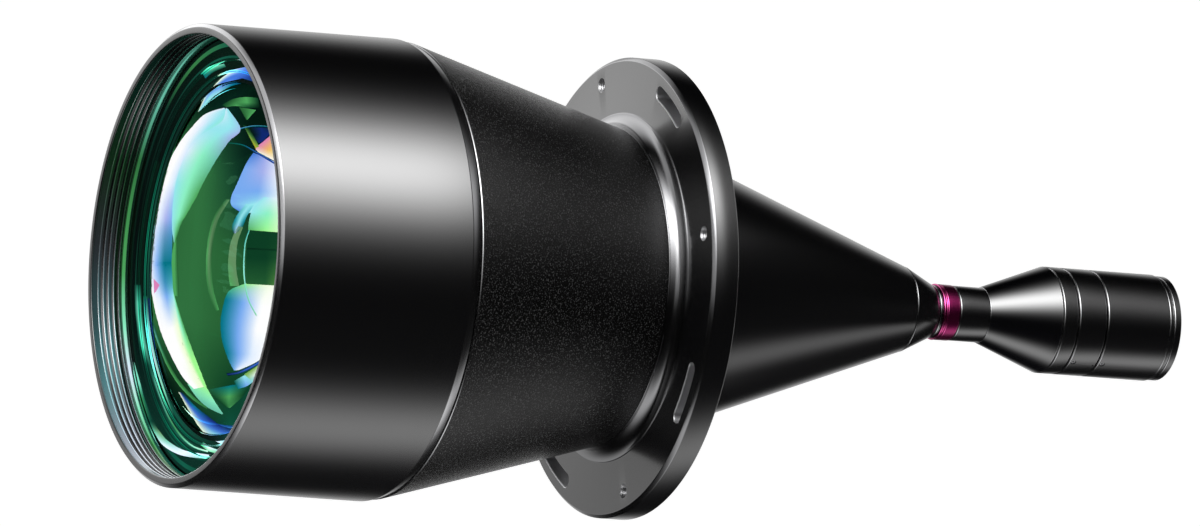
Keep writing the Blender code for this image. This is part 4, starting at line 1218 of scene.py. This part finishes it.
# Glints by name: lift off the glass in mm, first edge, second edge, and ramps from one edge
# to the other, spread from the start of the edges to their end. Places are picture pixels.
GLINTS = {
    "depth": (
        4.2,
        ((247, 82), (215, 90), (185, 116), (165, 153), (153, 205), (148, 266), (152, 325),
         (165, 377), (185, 416), (206, 438), (224, 446)),
        ((264, 88), (273, 120), (280, 165), (284, 215), (286, 266), (283, 310), (277, 350),
         (266, 385), (254, 414), (243, 434), (232, 446)),
        ((DEEP, DEEP, DEEP, DEEP), (DEEP, INK, DEEP, DEEP), (FERN, FERN, INK, FOREST),
         (GRASS, FERN, GRASS, FOREST), (FERN, FERN, GRASS, GRASS), (DEEP, GRASS, FOREST, SEA),
         (DEEP, INK, SEA, INK), (DEEP, DEEP, INK, DEEP)),
    ),
    "window_upper": (
        2.0,
        ((224, 107.8), (206, 113.6), (192.8, 126), (179.5, 142.7), (167.9, 164.2),
         (159.6, 185.8), (153.8, 209), (150.5, 234), (149.3, 266)),
        ((228, 111), (223, 123), (207, 137), (193, 151), (183, 170), (177, 189), (174, 211),
         (172.5, 234), (171.5, 266)),
        ((ICE, CYAN, CYAN, CYAN), (WHITE, ICE, CYAN, MINT), (WHITE, WHITE, ICE, CYAN),
         (WHITE, WHITE, ICE, CYAN), (WHITE, ICE, LAVENDER, SKY), (WHITE, SKY, TEAL, TEAL)),
    ),
    "window_lower": (
        1.95,
        ((149.3, 262), (150.5, 283), (153, 300), (156.3, 316), (161.3, 333), (168, 349.5),
         (175.4, 364.6), (184, 379), (194, 389)),
        ((171.5, 262), (172.5, 283), (173.7, 295), (175, 308), (178, 325), (182, 342), (188, 358),
         (195, 373), (203, 387)),
        ((WHITE, SKY, TEAL, TEAL), (WHITE, ICE, SKY, CYAN), (WHITE, WHITE, WHITE, CREAM),
         (WHITE, WHITE, WHITE, CREAM), (WHITE, WHITE, CREAM, CREAM)),
    ),
    "lobe_upper": (
        1.5,
        ((226, 108), (222, 121), (204, 133), (190, 147), (180.5, 167), (175, 187), (172.3, 210),
         (172, 228), (174, 243)),
        ((228, 109), (240.5, 129), (229.3, 141), (217.6, 157.6), (206, 177.5), (196.1, 197.4),
         (187.8, 212.3), (181.2, 223.9), (175, 243)),
        ((ICE, CYAN, CYAN), (CYAN, CYAN, LAVENDER), (ICE, MINT, FOAM), (CYAN, MINT, GREEN),
         (CYAN, MINT, GREEN), (CYAN, GREEN, FERN)),
    ),
    "lobe_lower": (
        1.5,
        ((173.2, 294), (175, 308), (178, 325), (182, 342), (188, 358), (195, 373), (203, 387)),
        ((174, 294), (179, 311), (184.5, 328), (190.5, 345), (196, 360), (201.5, 374),
         (207, 388.5)),
        ((CYAN, MINT, GREEN), (CREAM, MINT, GREEN), (CREAM, LEAF, LEAF), (CREAM, LEAF, LEAF)),
    ),
    "lobe_tail": (
        2.5,
        ((187.5, 384), (196, 396.5), (207, 407), (222, 414.5)),
        ((206.9, 388), (212, 397), (217, 405), (223, 413.5)),
        ((MINT, LEAF), (FOAM, MINT), (FOAM, FOAM)),
    ),
    "green_line": (
        2.2,
        ((174, 243), (171.8, 255), (171, 268), (171.5, 282), (173, 295)),
        ((177, 238), (177.5, 255), (178, 268), (178.5, 282), (179, 297)),
        ((GREEN, GREEN, GRASS), (GREEN, GREEN, GRASS)),
    ),
    "sky_patch": (
        2.4,
        ((253.3, 152.6), (245.8, 164.2), (237.5, 182.5), (231, 197.4), (231.7, 205.7),
         (240, 212)),
        ((278, 163), (281, 172), (282, 185), (283, 198), (272, 206), (250, 213)),
        ((BLUE, LAVENDER, ICE), (SKY, LAVENDER, WHITE), (SKY, SKY, WHITE), (SKY, CYAN, WHITE),
         (BLUE, CYAN, CYAN)),
    ),
    "mint_patch": (
        2.2,
        ((264, 197), (254, 207), (249.5, 218), (248, 230)),
        ((284, 198), (284, 209), (285, 221), (285, 232.8)),
        ((CYAN, ICE, WHITE), (CYAN, MINT, CREAM), (GREEN, LEAF, CREAM)),
    ),
    "smear": (
        2.3,
        ((246, 204), (237, 215), (232, 226), (233.5, 233.5)),
        ((254, 205), (247, 216), (243, 226), (237, 233)),
        ((CYAN, CYAN), (TEAL, CYAN, TEAL), (FOREST, LAVENDER, FOREST)),
    ),
    "flame": (
        2.1,
        ((270, 136), (262, 142.5), (255.8, 148), (258, 152)),
        ((276, 139), (279, 150), (281, 158), (282, 165)),
        ((PINK, ORANGE), (PINK, ORANGE, CREAM), (CREAM, WHITE, WHITE)),
    ),
    "bar": (
        2.0,
        ((243, 125), (249, 136), (255.5, 148.5)),
        ((247.5, 125.5), (253, 135), (259, 146.5)),
        ((FOREST, DEEP), (OLIVE, FOREST), (YELLOW, OLIVE)),
    ),
    "dusk": (
        2.2,
        ((248, 127), (253, 135), (258.5, 143)),
        ((274, 128), (271, 133), (262, 142)),
        ((DEEP, NAVY, DEEP), (DEEP, NAVY, NAVY), (NAVY, NAVY)),
    ),
    "screen": (
        2.3,
        ((248.5, 230.5), (246.5, 249), (246, 266), (246.8, 284)),
        ((285, 232.8), (286, 250), (286, 267), (284, 286)),
        ((FOREST, FOREST, FOREST), (FOREST, FOREST, GRASS), (GRASS, GRASS, OLIVE)),
    ),
    "screen_bar": (
        2.0,
        ((247, 248), (285, 249.5)),
        ((247, 250), (285, 251.5)),
        ((DEEP, FOREST), (FOREST, FOREST)),
    ),
    "cell_line": (
        1.8,
        ((248.6, 230), (244.6, 243), (243.2, 262), (244, 281), (248, 300), (256, 316)),
        ((249.8, 230), (245.8, 243), (244.4, 262), (245.2, 281), (249.2, 300), (257, 315.5)),
        ((TEAL, MINT), (MINT, CYAN), (GREEN, MINT)),
    ),
    "arc_outer": (
        2.4,
        ((226, 199), (214, 217), (208, 239), (206, 266), (208, 290), (215, 311)),
        ((229.5, 200), (219, 218), (213.5, 239), (211.5, 266), (213.5, 290), (219, 310)),
        ((GRASS, MOSS), (GREEN, MOSS, GRASS), (GRASS, GREEN)),
    ),
    "arc_inner": (
        2.3,
        ((238, 226), (230.5, 243), (228, 266), (230, 286)),
        ((243, 227), (237.5, 243), (236, 266), (239, 286)),
        ((MOSS, MOSS), (MOSS, MOSS, MOSS), (GREEN, MOSS)),
    ),
    "cloud": (
        2.4,
        ((246, 283.5), (229, 291), (222.5, 308), (220.5, 325), (222.6, 343), (229, 361),
         (234, 370.5)),
        ((284, 286), (281, 302), (278, 318), (274, 333), (269, 350), (258, 361), (239, 370)),
        ((LEAF, CREAM, WHITE), (TEAL, SKY, WHITE, WHITE), (TEAL, SKY, WHITE, WHITE),
         (TEAL, SKY, ICE, WHITE), (SKY, ICE, ICE)),
    ),
    "cloud_edge": (
        2.0,
        ((226, 373), (238, 371.5), (252, 365), (270, 354)),
        ((228, 376), (240, 373.5), (254, 367), (270, 357)),
        ((DEEP, NAVY, DEEP), (NAVY, BLUE, NAVY), (NAVY, BLUE, NAVY)),
    ),
    "spark": (
        2.0,
        ((268, 359), (254, 368), (244, 374.5)),
        ((269, 367), (261, 378), (253, 382)),
        ((CREAM, WHITE), (OLIVE, WHITE, SKY), (OLIVE, CYAN)),
    ),
    "glimmer": (
        2.1,
        ((252, 371.5), (243, 376), (234, 381)),
        ((255, 380), (247, 386), (238, 389)),
        ((CYAN, MINT), (CYAN, SKY), (SEA, TEAL)),
    ),
    "pool": (
        2.6,
        ((206, 390), (214, 398), (226, 407)),
        ((254, 381), (244, 395), (230, 408)),
        ((GRASS, TEAL, FOREST), (FOREST, GREEN, FOREST), (FOREST, GREEN)),
    ),
    "fan": (
        2.4,
        ((222, 105), (233, 99), (246, 97), (258, 98)),
        ((226, 107), (237, 106), (248, 108), (260, 108)),
        ((FOREST, GRASS), (GRASS, GREEN), (GREEN, GREEN, FOREST), (FOREST, DEEP)),
    ),
    "crescent_upper": (1.6, *CRESCENT_UPPER),
    "crescent_lower": (1.6, *CRESCENT_LOWER),
    "petal": (
        1.0,
        ((153.5, 278.5), (154, 293.5)),
        ((159.5, 285), (156, 291.5)),
        ((PINK, PINK), (PINK, PINK)),
    ),
    "limb_line": (
        1.9,
        ((149, 311), (153, 328), (158.5, 345), (167, 366), (178, 384), (192, 399), (207, 409)),
        ((150.8, 311), (155, 328), (160.8, 345), (169.5, 364.6), (180.4, 382), (193.6, 396.5),
         (207, 407)),
        ((FOREST, SEA), (FOAM, SEA), (GREEN, GRASS), (GREEN, FERN), (FERN, FERN)),
    ),
    "thread_upper": (
        1.7,
        ((240, 128.2), (252, 125.6), (266, 125.8), (282, 129)),
        ((240, 129.2), (252, 126.6), (266, 126.8), (282, 130)),
        ((SKY, TEAL), (SEA, TEAL)),
    ),
    "thread_middle": (
        1.7,
        ((228, 142.4), (243, 144.6), (258, 152.6), (281, 166)),
        ((228, 143.4), (243, 145.8), (257.6, 154.2), (280.6, 168)),
        ((SEA, SEA), (TEAL, SEA), (BLUE, NAVY), (BLUE, NAVY)),
    ),
    "leaf": (
        2.3,
        ((239, 107), (246.5, 120)),
        ((256, 110), (247.5, 119.5)),
        ((GRASS, GREEN), (GRASS, GREEN)),
    ),
}

# Glints on the flat retaining ring, given in the same way
RING_GLINTS = {
    "crescent_upper": (2.4, *CRESCENT_UPPER),
    "spark_upper": (
        2.0,
        ((203, 74), (211, 67.5), (224, 64)),
        ((205.5, 78.5), (214, 72), (226, 67)),
        ((SEA, TEAL), (MINT, SEA), (FOAM, SEA)),
    ),
    "crescent_lower": (2.4, *CRESCENT_LOWER),
    "spark_lower": (
        2.0,
        ((200, 441), (208, 446), (219, 450)),
        ((201, 445), (209, 451), (221, 454)),
        ((SEA, GREEN), (WHITE, MINT), (CYAN, GREEN)),
    ),
    "teal_line": (
        2.3,
        ((137, 285), (137.5, 300), (138.2, 315), (141, 335), (144.5, 352), (149, 368), (154, 383),
         (161, 402), (169, 420), (180, 436), (193, 447), (208, 452)),
        ((141.5, 285), (142, 300), (142.8, 315), (145.5, 335), (149, 352), (153, 368),
         (156.5, 383), (162.5, 401), (170.5, 418.5), (181, 434.5), (193.5, 445.5), (208, 450.5)),
        ((INK, SEA, INK), (SEA, FOAM, SEA), (SEA, FOAM, SEA), (SEA, FOAM, SEA),
         (INK, SEA, INK), (SEA, FOAM), (SEA, FOAM), (SEA, GREEN), (FOAM, MINT), (MINT, WHITE)),
    ),
    "white_line": (
        2.2,
        ((143.6, 296), (145.3, 322), (149.3, 347), (155.6, 372), (163.6, 396), (171.5, 416)),
        ((145.5, 296), (147.6, 322), (151.8, 347), (157.7, 371.5), (165, 395.5), (172, 415.5)),
        ((INK, SEA), (FOAM, CYAN), (ICE, FOAM), (MINT, FOAM), (SEA, INK)),
    ),
    "blue_blade": (
        2.25,
        ((145.5, 298), (149, 325), (154, 348), (160, 370), (166, 390), (172, 405)),
        ((147.5, 298), (154, 325), (160.5, 348), (166.5, 368), (170.5, 388), (173, 404)),
        ((INK, NAVY), (NAVY, NAVY, INK), (NAVY, NAVY, DEEP), (INK, INK, DEEP), (INK, DEEP)),
    ),
    "foam_band": (
        2.1,
        ((125.8, 340), (130, 360), (137.5, 383), (141.7, 398), (150, 421.7), (157, 433.5),
         (166, 446), (184, 455.5), (209, 459)),
        ((131.7, 340), (135.8, 360), (142.5, 383), (146.7, 398), (155.8, 421.7), (163.3, 433),
         (171, 441.5), (187, 450.5), (209, 454.5)),
        ((SEA, FOAM), (MINT, FOAM), (FOAM, FOAM), (GREEN, SEA), (SEA, INK), (FOAM, MOSS),
         (ICE, FOAM), (ICE, ICE), (FOAM, ICE)),
    ),
}

# Cards whose mirror images paint coloured arcs, painted reflections, on the flat retaining ring:
# lift, inner and outer radius in mm, and colours at angles
RING_ARCS = {
    "ground": (3.2, 75.9, 95.7, (
        (60, DEEP), (120, DEEP), (165, SOOT), (200, PITCH), (230, COAL),
        (265, INK), (300, INK), (330, DEEP), (360, DEEP))),
    "first": (2.6, 91.4, 93.4, (
        (95, INK), (120, SEA), (145, FERN), (166, INK), (190, DEEP), (225, DEEP), (258, INK),
        (285, SEA), (310, DEEP))),
    "second": (2.6, 86.3, 87.3, (
        (100, INK), (130, SEA), (160, INK), (200, DEEP), (228, SEA), (243, INK), (262, INK),
        (285, SEA), (305, INK))),
    "third": (2.6, 81.8, 84.4, (
        (180, DEEP), (222, DEEP), (242, INK), (257, INK), (275, SEA), (300, INK))),
    "fourth": (2.6, 77.4, 79.4, (
        (95, DEEP), (140, INK), (175, INK), (205, SEA), (235, INK), (265, SEA), (300, INK))),
}

# Glow in front of the glass that the mouth's wall mirrors: angle, colour, strength
MOUTH_GLOW = (
    (0, SEA, 1.0), (60, DEEP, 1.0), (84, ICE, 1.0), (106, ICE, 0.8), (126, INK, 1.0),
    (150, INK, 1.0), (172, SEA, 1.0), (190, FERN, 1.0), (208, ICE, 0.22), (224, CYAN, 0.8),
    (238, CYAN, 2.2), (255, ICE, 2.4), (285, WHITE, 2.2), (312, WHITE, 3.2), (335, ICE, 1.0),
    (360, SEA, 1.0),
)

# Glow that the polished band in the mouth's wall mirrors: angle and colour
BAND_GLOW = (
    (96, DEEP), (128, SEA), (146, FOAM), (166, FOAM), (184, FERN), (214, GREEN), (228, MINT),
    (240, ICE), (252, MINT), (266, GREEN), (306, WHITE), (322, DEEP),
)
BAND_GAIN = 2.2

# How much the gloss black of the retaining ring mirrors in the photograph's view
RING_MIRROR = 0.15


def linear(level):
    """A channel of 0 to 255, as seen, in linear light."""
    share = level / 255.0
    return share / 12.92 if share <= 0.04045 else ((share + 0.055) / 1.055) ** 2.4


def along(points, share):
    """The place at a share of a smooth line through points."""
    last = len(points) - 1
    position = share * last
    index = min(int(position), last - 1)
    t = position - index
    before = points[max(index - 1, 0)]
    first, second = points[index], points[index + 1]
    after = points[min(index + 2, last)]
    return tuple(
        0.5 * (2 * b + (c - a) * t + (2 * a - 5 * b + 4 * c - d) * t**2
               + (3 * b - a - 3 * c + d) * t**3)
        for a, b, c, d in zip(before, first, second, after)
    )


def blended(colours, share):
    """The colour at a share of an even ramp."""
    last = len(colours) - 1
    if last == 0:
        return colours[0]
    position = share * last
    index = min(int(position), last - 1)
    t = position - index
    return tuple(a + (b - a) * t for a, b in zip(colours[index], colours[index + 1]))


def dome_view():
    """The camera's place, the dome's centre and radius, and the focal length in pixels."""
    size = sizes()
    start = CAMERA_TARGET + TO_CAMERA * size.camera_distance
    centre = Vector((0.0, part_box("front_lens")[0].y + size.dome_radius, 0.0))
    focal = size.camera_focal / SENSOR_WIDTH * PICTURE_WIDTH
    return start, centre, size.dome_radius, focal


def picture_ray(view, right, down):
    """The way from the camera through a picture pixel."""
    across, below = right - PICTURE_CENTRE[0], down - PICTURE_CENTRE[1]
    ray = CAMERA_RIGHT * across - CAMERA_UP * below - TO_CAMERA * view[3]
    return ray.normalized()


def mirror_ray(view, right, down):
    """Where a picture pixel meets the front dome, and the way that it is mirrored there."""
    start, centre, radius, _ = view
    ray = picture_ray(view, right, down)
    offset = start - centre
    half = offset.dot(ray)
    rest = half * half - offset.length_squared + radius**2
    point = start + ray * (-half - math.sqrt(max(rest, 0.0)))
    normal = (point - centre).normalized()
    facing = -normal.dot(ray)
    return point, ray + normal * 2 * facing, max(facing, 0.0)


def ring_ray(view, right, down):
    """Where a picture pixel meets the plane of the retaining ring, and the mirrored way."""
    start, plane, _, _ = view
    ray = picture_ray(view, right, down)
    point = start + ray * ((plane - start.y) / ray.y)
    return point, Vector((ray.x, -ray.y, ray.z)), ray.y


def ring_plane():
    """The middle of the retaining ring's steps."""
    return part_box("front_retaining_ring")[0].y + RING_STEP * MM


def glint(name, lift, first_edge, second_edge, ramps, on_ring=False):
    """A small soft card close over the glass, which only its mirror image shows."""
    rows, columns, crowding = 48, 28, 1.5
    least, lean, far_lift = 0.12, 2.0, 4.0
    view = dome_view()
    if on_ring:
        view = (view[0], ring_plane(), view[2], view[3])
    vertices, shades = [], []
    for row in range(rows + 1):
        down_share = row / rows
        start, end = along(first_edge, down_share), along(second_edge, down_share)
        for column in range(columns + 1):
            share = (column / columns) ** crowding
            place = [a + (b - a) * share for a, b in zip(start, end)]
            point, way, facing = (ring_ray if on_ring else mirror_ray)(view, *place)
            near = min(1.0, least + lean * facing) if lift < far_lift else 1.0
            vertices.append(point + way * lift * near * MM)
            tones = [blended(ramp, share) for ramp in ramps]
            seen = blended(tones, down_share)
            mirror = (RING_MIRROR,) * 3 if on_ring else reflectance(facing)
            shades.append([linear(tone) / part for tone, part in zip(seen, mirror)] + [1.0])
    card(name, vertices, shades, rows, columns)


def arc_card(name, profile, stops, shift, gain, one_sided=False):
    """A soft card round the axis: (radius, y) points, colours at angles in degrees."""
    steps = 120
    vertices, shades = [], []
    for step in range(steps + 1):
        angle = stops[0][0] + (stops[-1][0] - stops[0][0]) * step / steps
        shade = stops[-1][1]
        for (low, first), (high, second) in zip(stops, stops[1:]):
            if low <= angle <= high:
                shade = blended((first, second), (angle - low) / (high - low))
                break
        turn = math.radians(angle)
        for radius, y in profile:
            vertices.append(Vector((radius * math.cos(turn), y, radius * math.sin(turn))) + shift)
            shades.append([part * gain for part in shade] + [1.0])
    card(name, vertices, shades, steps, len(profile) - 1, one_sided)


def card(name, vertices, shades, rows, columns, one_sided=False):
    """Makes a grid of shaded points into a card that only mirrored rays see."""
    faces = []
    for row in range(rows):
        for column in range(columns):
            corner = row * (columns + 1) + column
            faces.append((corner, corner + 1, corner + columns + 2, corner + columns + 1))
    mesh = bpy.data.meshes.new("glint_" + name)
    mesh.from_pydata(vertices, [], faces)
    layer = mesh.color_attributes.new("shade", "FLOAT_COLOR", "POINT")
    layer.data.foreach_set("color", [value for shade in shades for value in shade])
    mesh.materials.append(glint_material(one_sided))
    item = placed("glint_" + name, mesh)
    hide_from_all_but_gloss(item)


def glint_material(one_sided=False):
    """Light of the card's own shade, from both sides or only from its front."""
    name = "front_glint" if one_sided else "glint"
    if name in bpy.data.materials:
        return bpy.data.materials[name]
    material, tree, output = bare_material(name)
    glow = tree.nodes.new("ShaderNodeEmission")
    shade = tree.nodes.new("ShaderNodeAttribute")
    shade.attribute_name = "shade"
    wire(tree, (shade, "Color", glow, "Color"), (glow, "Emission", output, "Surface"))
    if one_sided:
        mix = tree.nodes.new("ShaderNodeMixShader")
        side = tree.nodes.new("ShaderNodeNewGeometry")
        clear = tree.nodes.new("ShaderNodeBsdfTransparent")
        wire(
            tree,
            (side, "Backfacing", mix, "Fac"),
            (glow, "Emission", mix, 1),
            (clear, "BSDF", mix, 2),
            (mix, "Shader", output, "Surface"),
        )
    material.cycles.emission_sampling = "NONE"
    return material


class LENS_OT_glints(bpy.types.Operator):
    """Soft cards whose mirror images colour the front glass"""

    bl_idname = "lens.glints"
    bl_label = "Glints"

    def execute(self, context):
        for name, values in GLINTS.items():
            glint(name, *values)
        for name, values in RING_GLINTS.items():
            glint(name, *values, on_ring=True)
        plane = ring_plane()
        way = Vector((-TO_CAMERA.x, TO_CAMERA.y, -TO_CAMERA.z))
        for name, (lift, inner, outer, stops) in RING_ARCS.items():
            lights = [(angle, [linear(part) for part in shade]) for angle, shade in stops]
            profile = points_from(plane, (inner, 0.0), (outer, 0.0))
            arc_card("arc_" + name, profile, lights, way * lift * MM, 1.0 / RING_MIRROR)
        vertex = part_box("front_lens")[0].y
        glow_radius, glow_gap = 94.5, 6.5
        dome_radii = (76.0, 70.0, 64.0, 58.0, 52.0)
        profile = points_from(plane, (glow_radius, -glow_gap))
        for radius in dome_radii:
            glass = vertex + sag(radius * MM, sizes().dome_radius)
            profile += points_from(glass, (radius, -glow_gap))
        lights = [
            (angle, [linear(part) * strength for part in shade])
            for angle, shade, strength in MOUTH_GLOW
        ]
        arc_card("mouth_glow", profile, lights, Vector(), gain=1.0)
        band_radius, band_front, band_rear = 94.4, -3.6, -0.1
        profile = points_from(plane, (band_radius, band_front), (band_radius, band_rear))
        lights = [(angle, [linear(part) for part in shade]) for angle, shade in BAND_GLOW]
        arc_card("band_glow", profile, lights, Vector(), BAND_GAIN, one_sided=True)
        return {"FINISHED"}


class LENS_OT_studio(bpy.types.Operator):
    """Floor, white surroundings, light tent and the camera"""

    bl_idname = "lens.studio"
    bl_label = "Studio"

    def execute(self, context):
        context.scene.view_settings.view_transform = "Standard"
        self.surroundings()
        self.floor()
        self.tent()
        self.camera()
        return {"FINISHED"}

    def surroundings(self):
        """White where it is seen, mirrored or seen through, and half as bright as a light."""
        world = bpy.data.worlds.new("studio")
        bpy.context.scene.world = world
        world.use_nodes = True
        nodes = world.node_tree.nodes
        nodes.clear()
        output = nodes.new("ShaderNodeOutputWorld")
        plain = nodes.new("ShaderNodeBackground")
        plain.inputs["Strength"].default_value = 0.5
        white = nodes.new("ShaderNodeBackground")
        white.inputs["Strength"].default_value = 1.0
        mix = nodes.new("ShaderNodeMixShader")
        path = nodes.new("ShaderNodeLightPath")
        seen = nodes.new("ShaderNodeMath")
        seen.operation = "MAXIMUM"
        through = nodes.new("ShaderNodeMath")
        through.operation = "MAXIMUM"
        wire(
            world.node_tree,
            (path, "Is Camera Ray", seen, 0),
            (path, "Is Glossy Ray", seen, 1),
            (seen, "Value", through, 0),
            (path, "Is Transmission Ray", through, 1),
            (through, "Value", mix, "Fac"),
            (plain, "Background", mix, 1),
            (white, "Background", mix, 2),
            (mix, "Shader", output, "Surface"),
        )

    def floor(self):
        """A pale floor well below the lens, which keeps the lens's shadow."""
        mesh = bpy.data.meshes.new("floor")
        half, level = 14.0, -1.35
        corners = [(-half, -half, level), (half, -half, level), (half, half, level),
                   (-half, half, level)]
        mesh.from_pydata(corners, [], [(0, 1, 2, 3)])
        material = bpy.data.materials.new("floor")
        material.use_nodes = True
        nodes = material.node_tree.nodes
        shader = nodes["Principled BSDF"]
        shader.inputs["Base Color"].default_value = (0.8, 0.8, 0.8, 1.0)
        shader.inputs["Roughness"].default_value = 0.9
        shader.inputs["Specular IOR Level"].default_value = 0.0
        glow = nodes.new("ShaderNodeEmission")
        glow.inputs["Strength"].default_value = 0.7
        add = nodes.new("ShaderNodeAddShader")
        wire(
            material.node_tree,
            (shader, "BSDF", add, 0),
            (glow, "Emission", add, 1),
            (add, "Shader", nodes["Material Output"], "Surface"),
        )
        mesh.materials.append(material)
        item = placed("floor", mesh)

    def tent(self):
        """A light tent round the optical axis: soft strips on black, for gloss only."""
        mesh = bpy.data.meshes.new("light_tent")
        radius, half, sides = 1.2, 9.0, 96
        vertices = []
        for y in (-half, half):
            for side in range(sides):
                angle = 2 * math.pi * side / sides
                vertices.append((radius * math.cos(angle), y, radius * math.sin(angle)))
        faces = [
            (side, (side + 1) % sides, sides + (side + 1) % sides, sides + side)
            for side in range(sides)
        ]
        mesh.from_pydata(vertices, [], faces)
        mesh.materials.append(tent_material())
        item = placed("light_tent", mesh)
        hide_from_all_but_gloss(item)

    def camera(self):
        """The photograph's view, with a long lens."""
        size = sizes()
        data = bpy.data.cameras.new("camera")
        data.lens = size.camera_focal
        data.sensor_width = SENSOR_WIDTH
        data.clip_end = 100.0
        item = placed("camera", data)
        turn = Matrix((CAMERA_RIGHT, CAMERA_UP, TO_CAMERA)).transposed().to_4x4()
        place = CAMERA_TARGET + TO_CAMERA * size.camera_distance
        item.matrix_world = Matrix.Translation(place) @ turn
        bpy.context.scene.camera = item


class LENS_PT_panel(bpy.types.Panel):
    """Sidebar panel with the sizes, the finishes and the build buttons"""

    bl_idname = "LENS_PT_panel"
    bl_label = "Lens"
    bl_space_type = "VIEW_3D"
    bl_region_type = "UI"
    bl_category = "Lens"

    def draw(self, context):
        layout = self.layout
        for group in (context.scene.lens_sizes, context.scene.lens_finishes):
            box = layout.box()
            for name in group.__annotations__:
                box.prop(group, name)
        for operator in OPERATORS:
            layout.operator(operator.bl_idname)


OPERATORS = (
    LENS_OT_hood,
    LENS_OT_front_glass,
    LENS_OT_front_cone,
    LENS_OT_flange,
    LENS_OT_rear_cone,
    LENS_OT_neck,
    LENS_OT_barrel,
    LENS_OT_glints,
    LENS_OT_studio,
)
CLASSES = (LensSizes, LensFinishes, *OPERATORS, LENS_PT_panel)


def register():
    """Registers every class and hangs the settings on the scene."""
    for item in CLASSES:
        bpy.utils.register_class(item)
    bpy.types.Scene.lens_sizes = bpy.props.PointerProperty(type=LensSizes)
    bpy.types.Scene.lens_finishes = bpy.props.PointerProperty(type=LensFinishes)


def unregister():
    """Takes the settings and the classes away again."""
    del bpy.types.Scene.lens_finishes
    del bpy.types.Scene.lens_sizes
    for item in reversed(CLASSES):
        bpy.utils.unregister_class(item)


def main():
    """Builds the lens and the studio."""
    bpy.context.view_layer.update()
    register()
    bpy.ops.lens.hood()
    bpy.ops.lens.front_glass()
    bpy.ops.lens.front_cone()
    bpy.ops.lens.flange()
    bpy.ops.lens.rear_cone()
    bpy.ops.lens.neck()
    bpy.ops.lens.barrel()
    bpy.ops.lens.glints()
    bpy.ops.lens.studio()


if __name__ == "__main__":
    main()
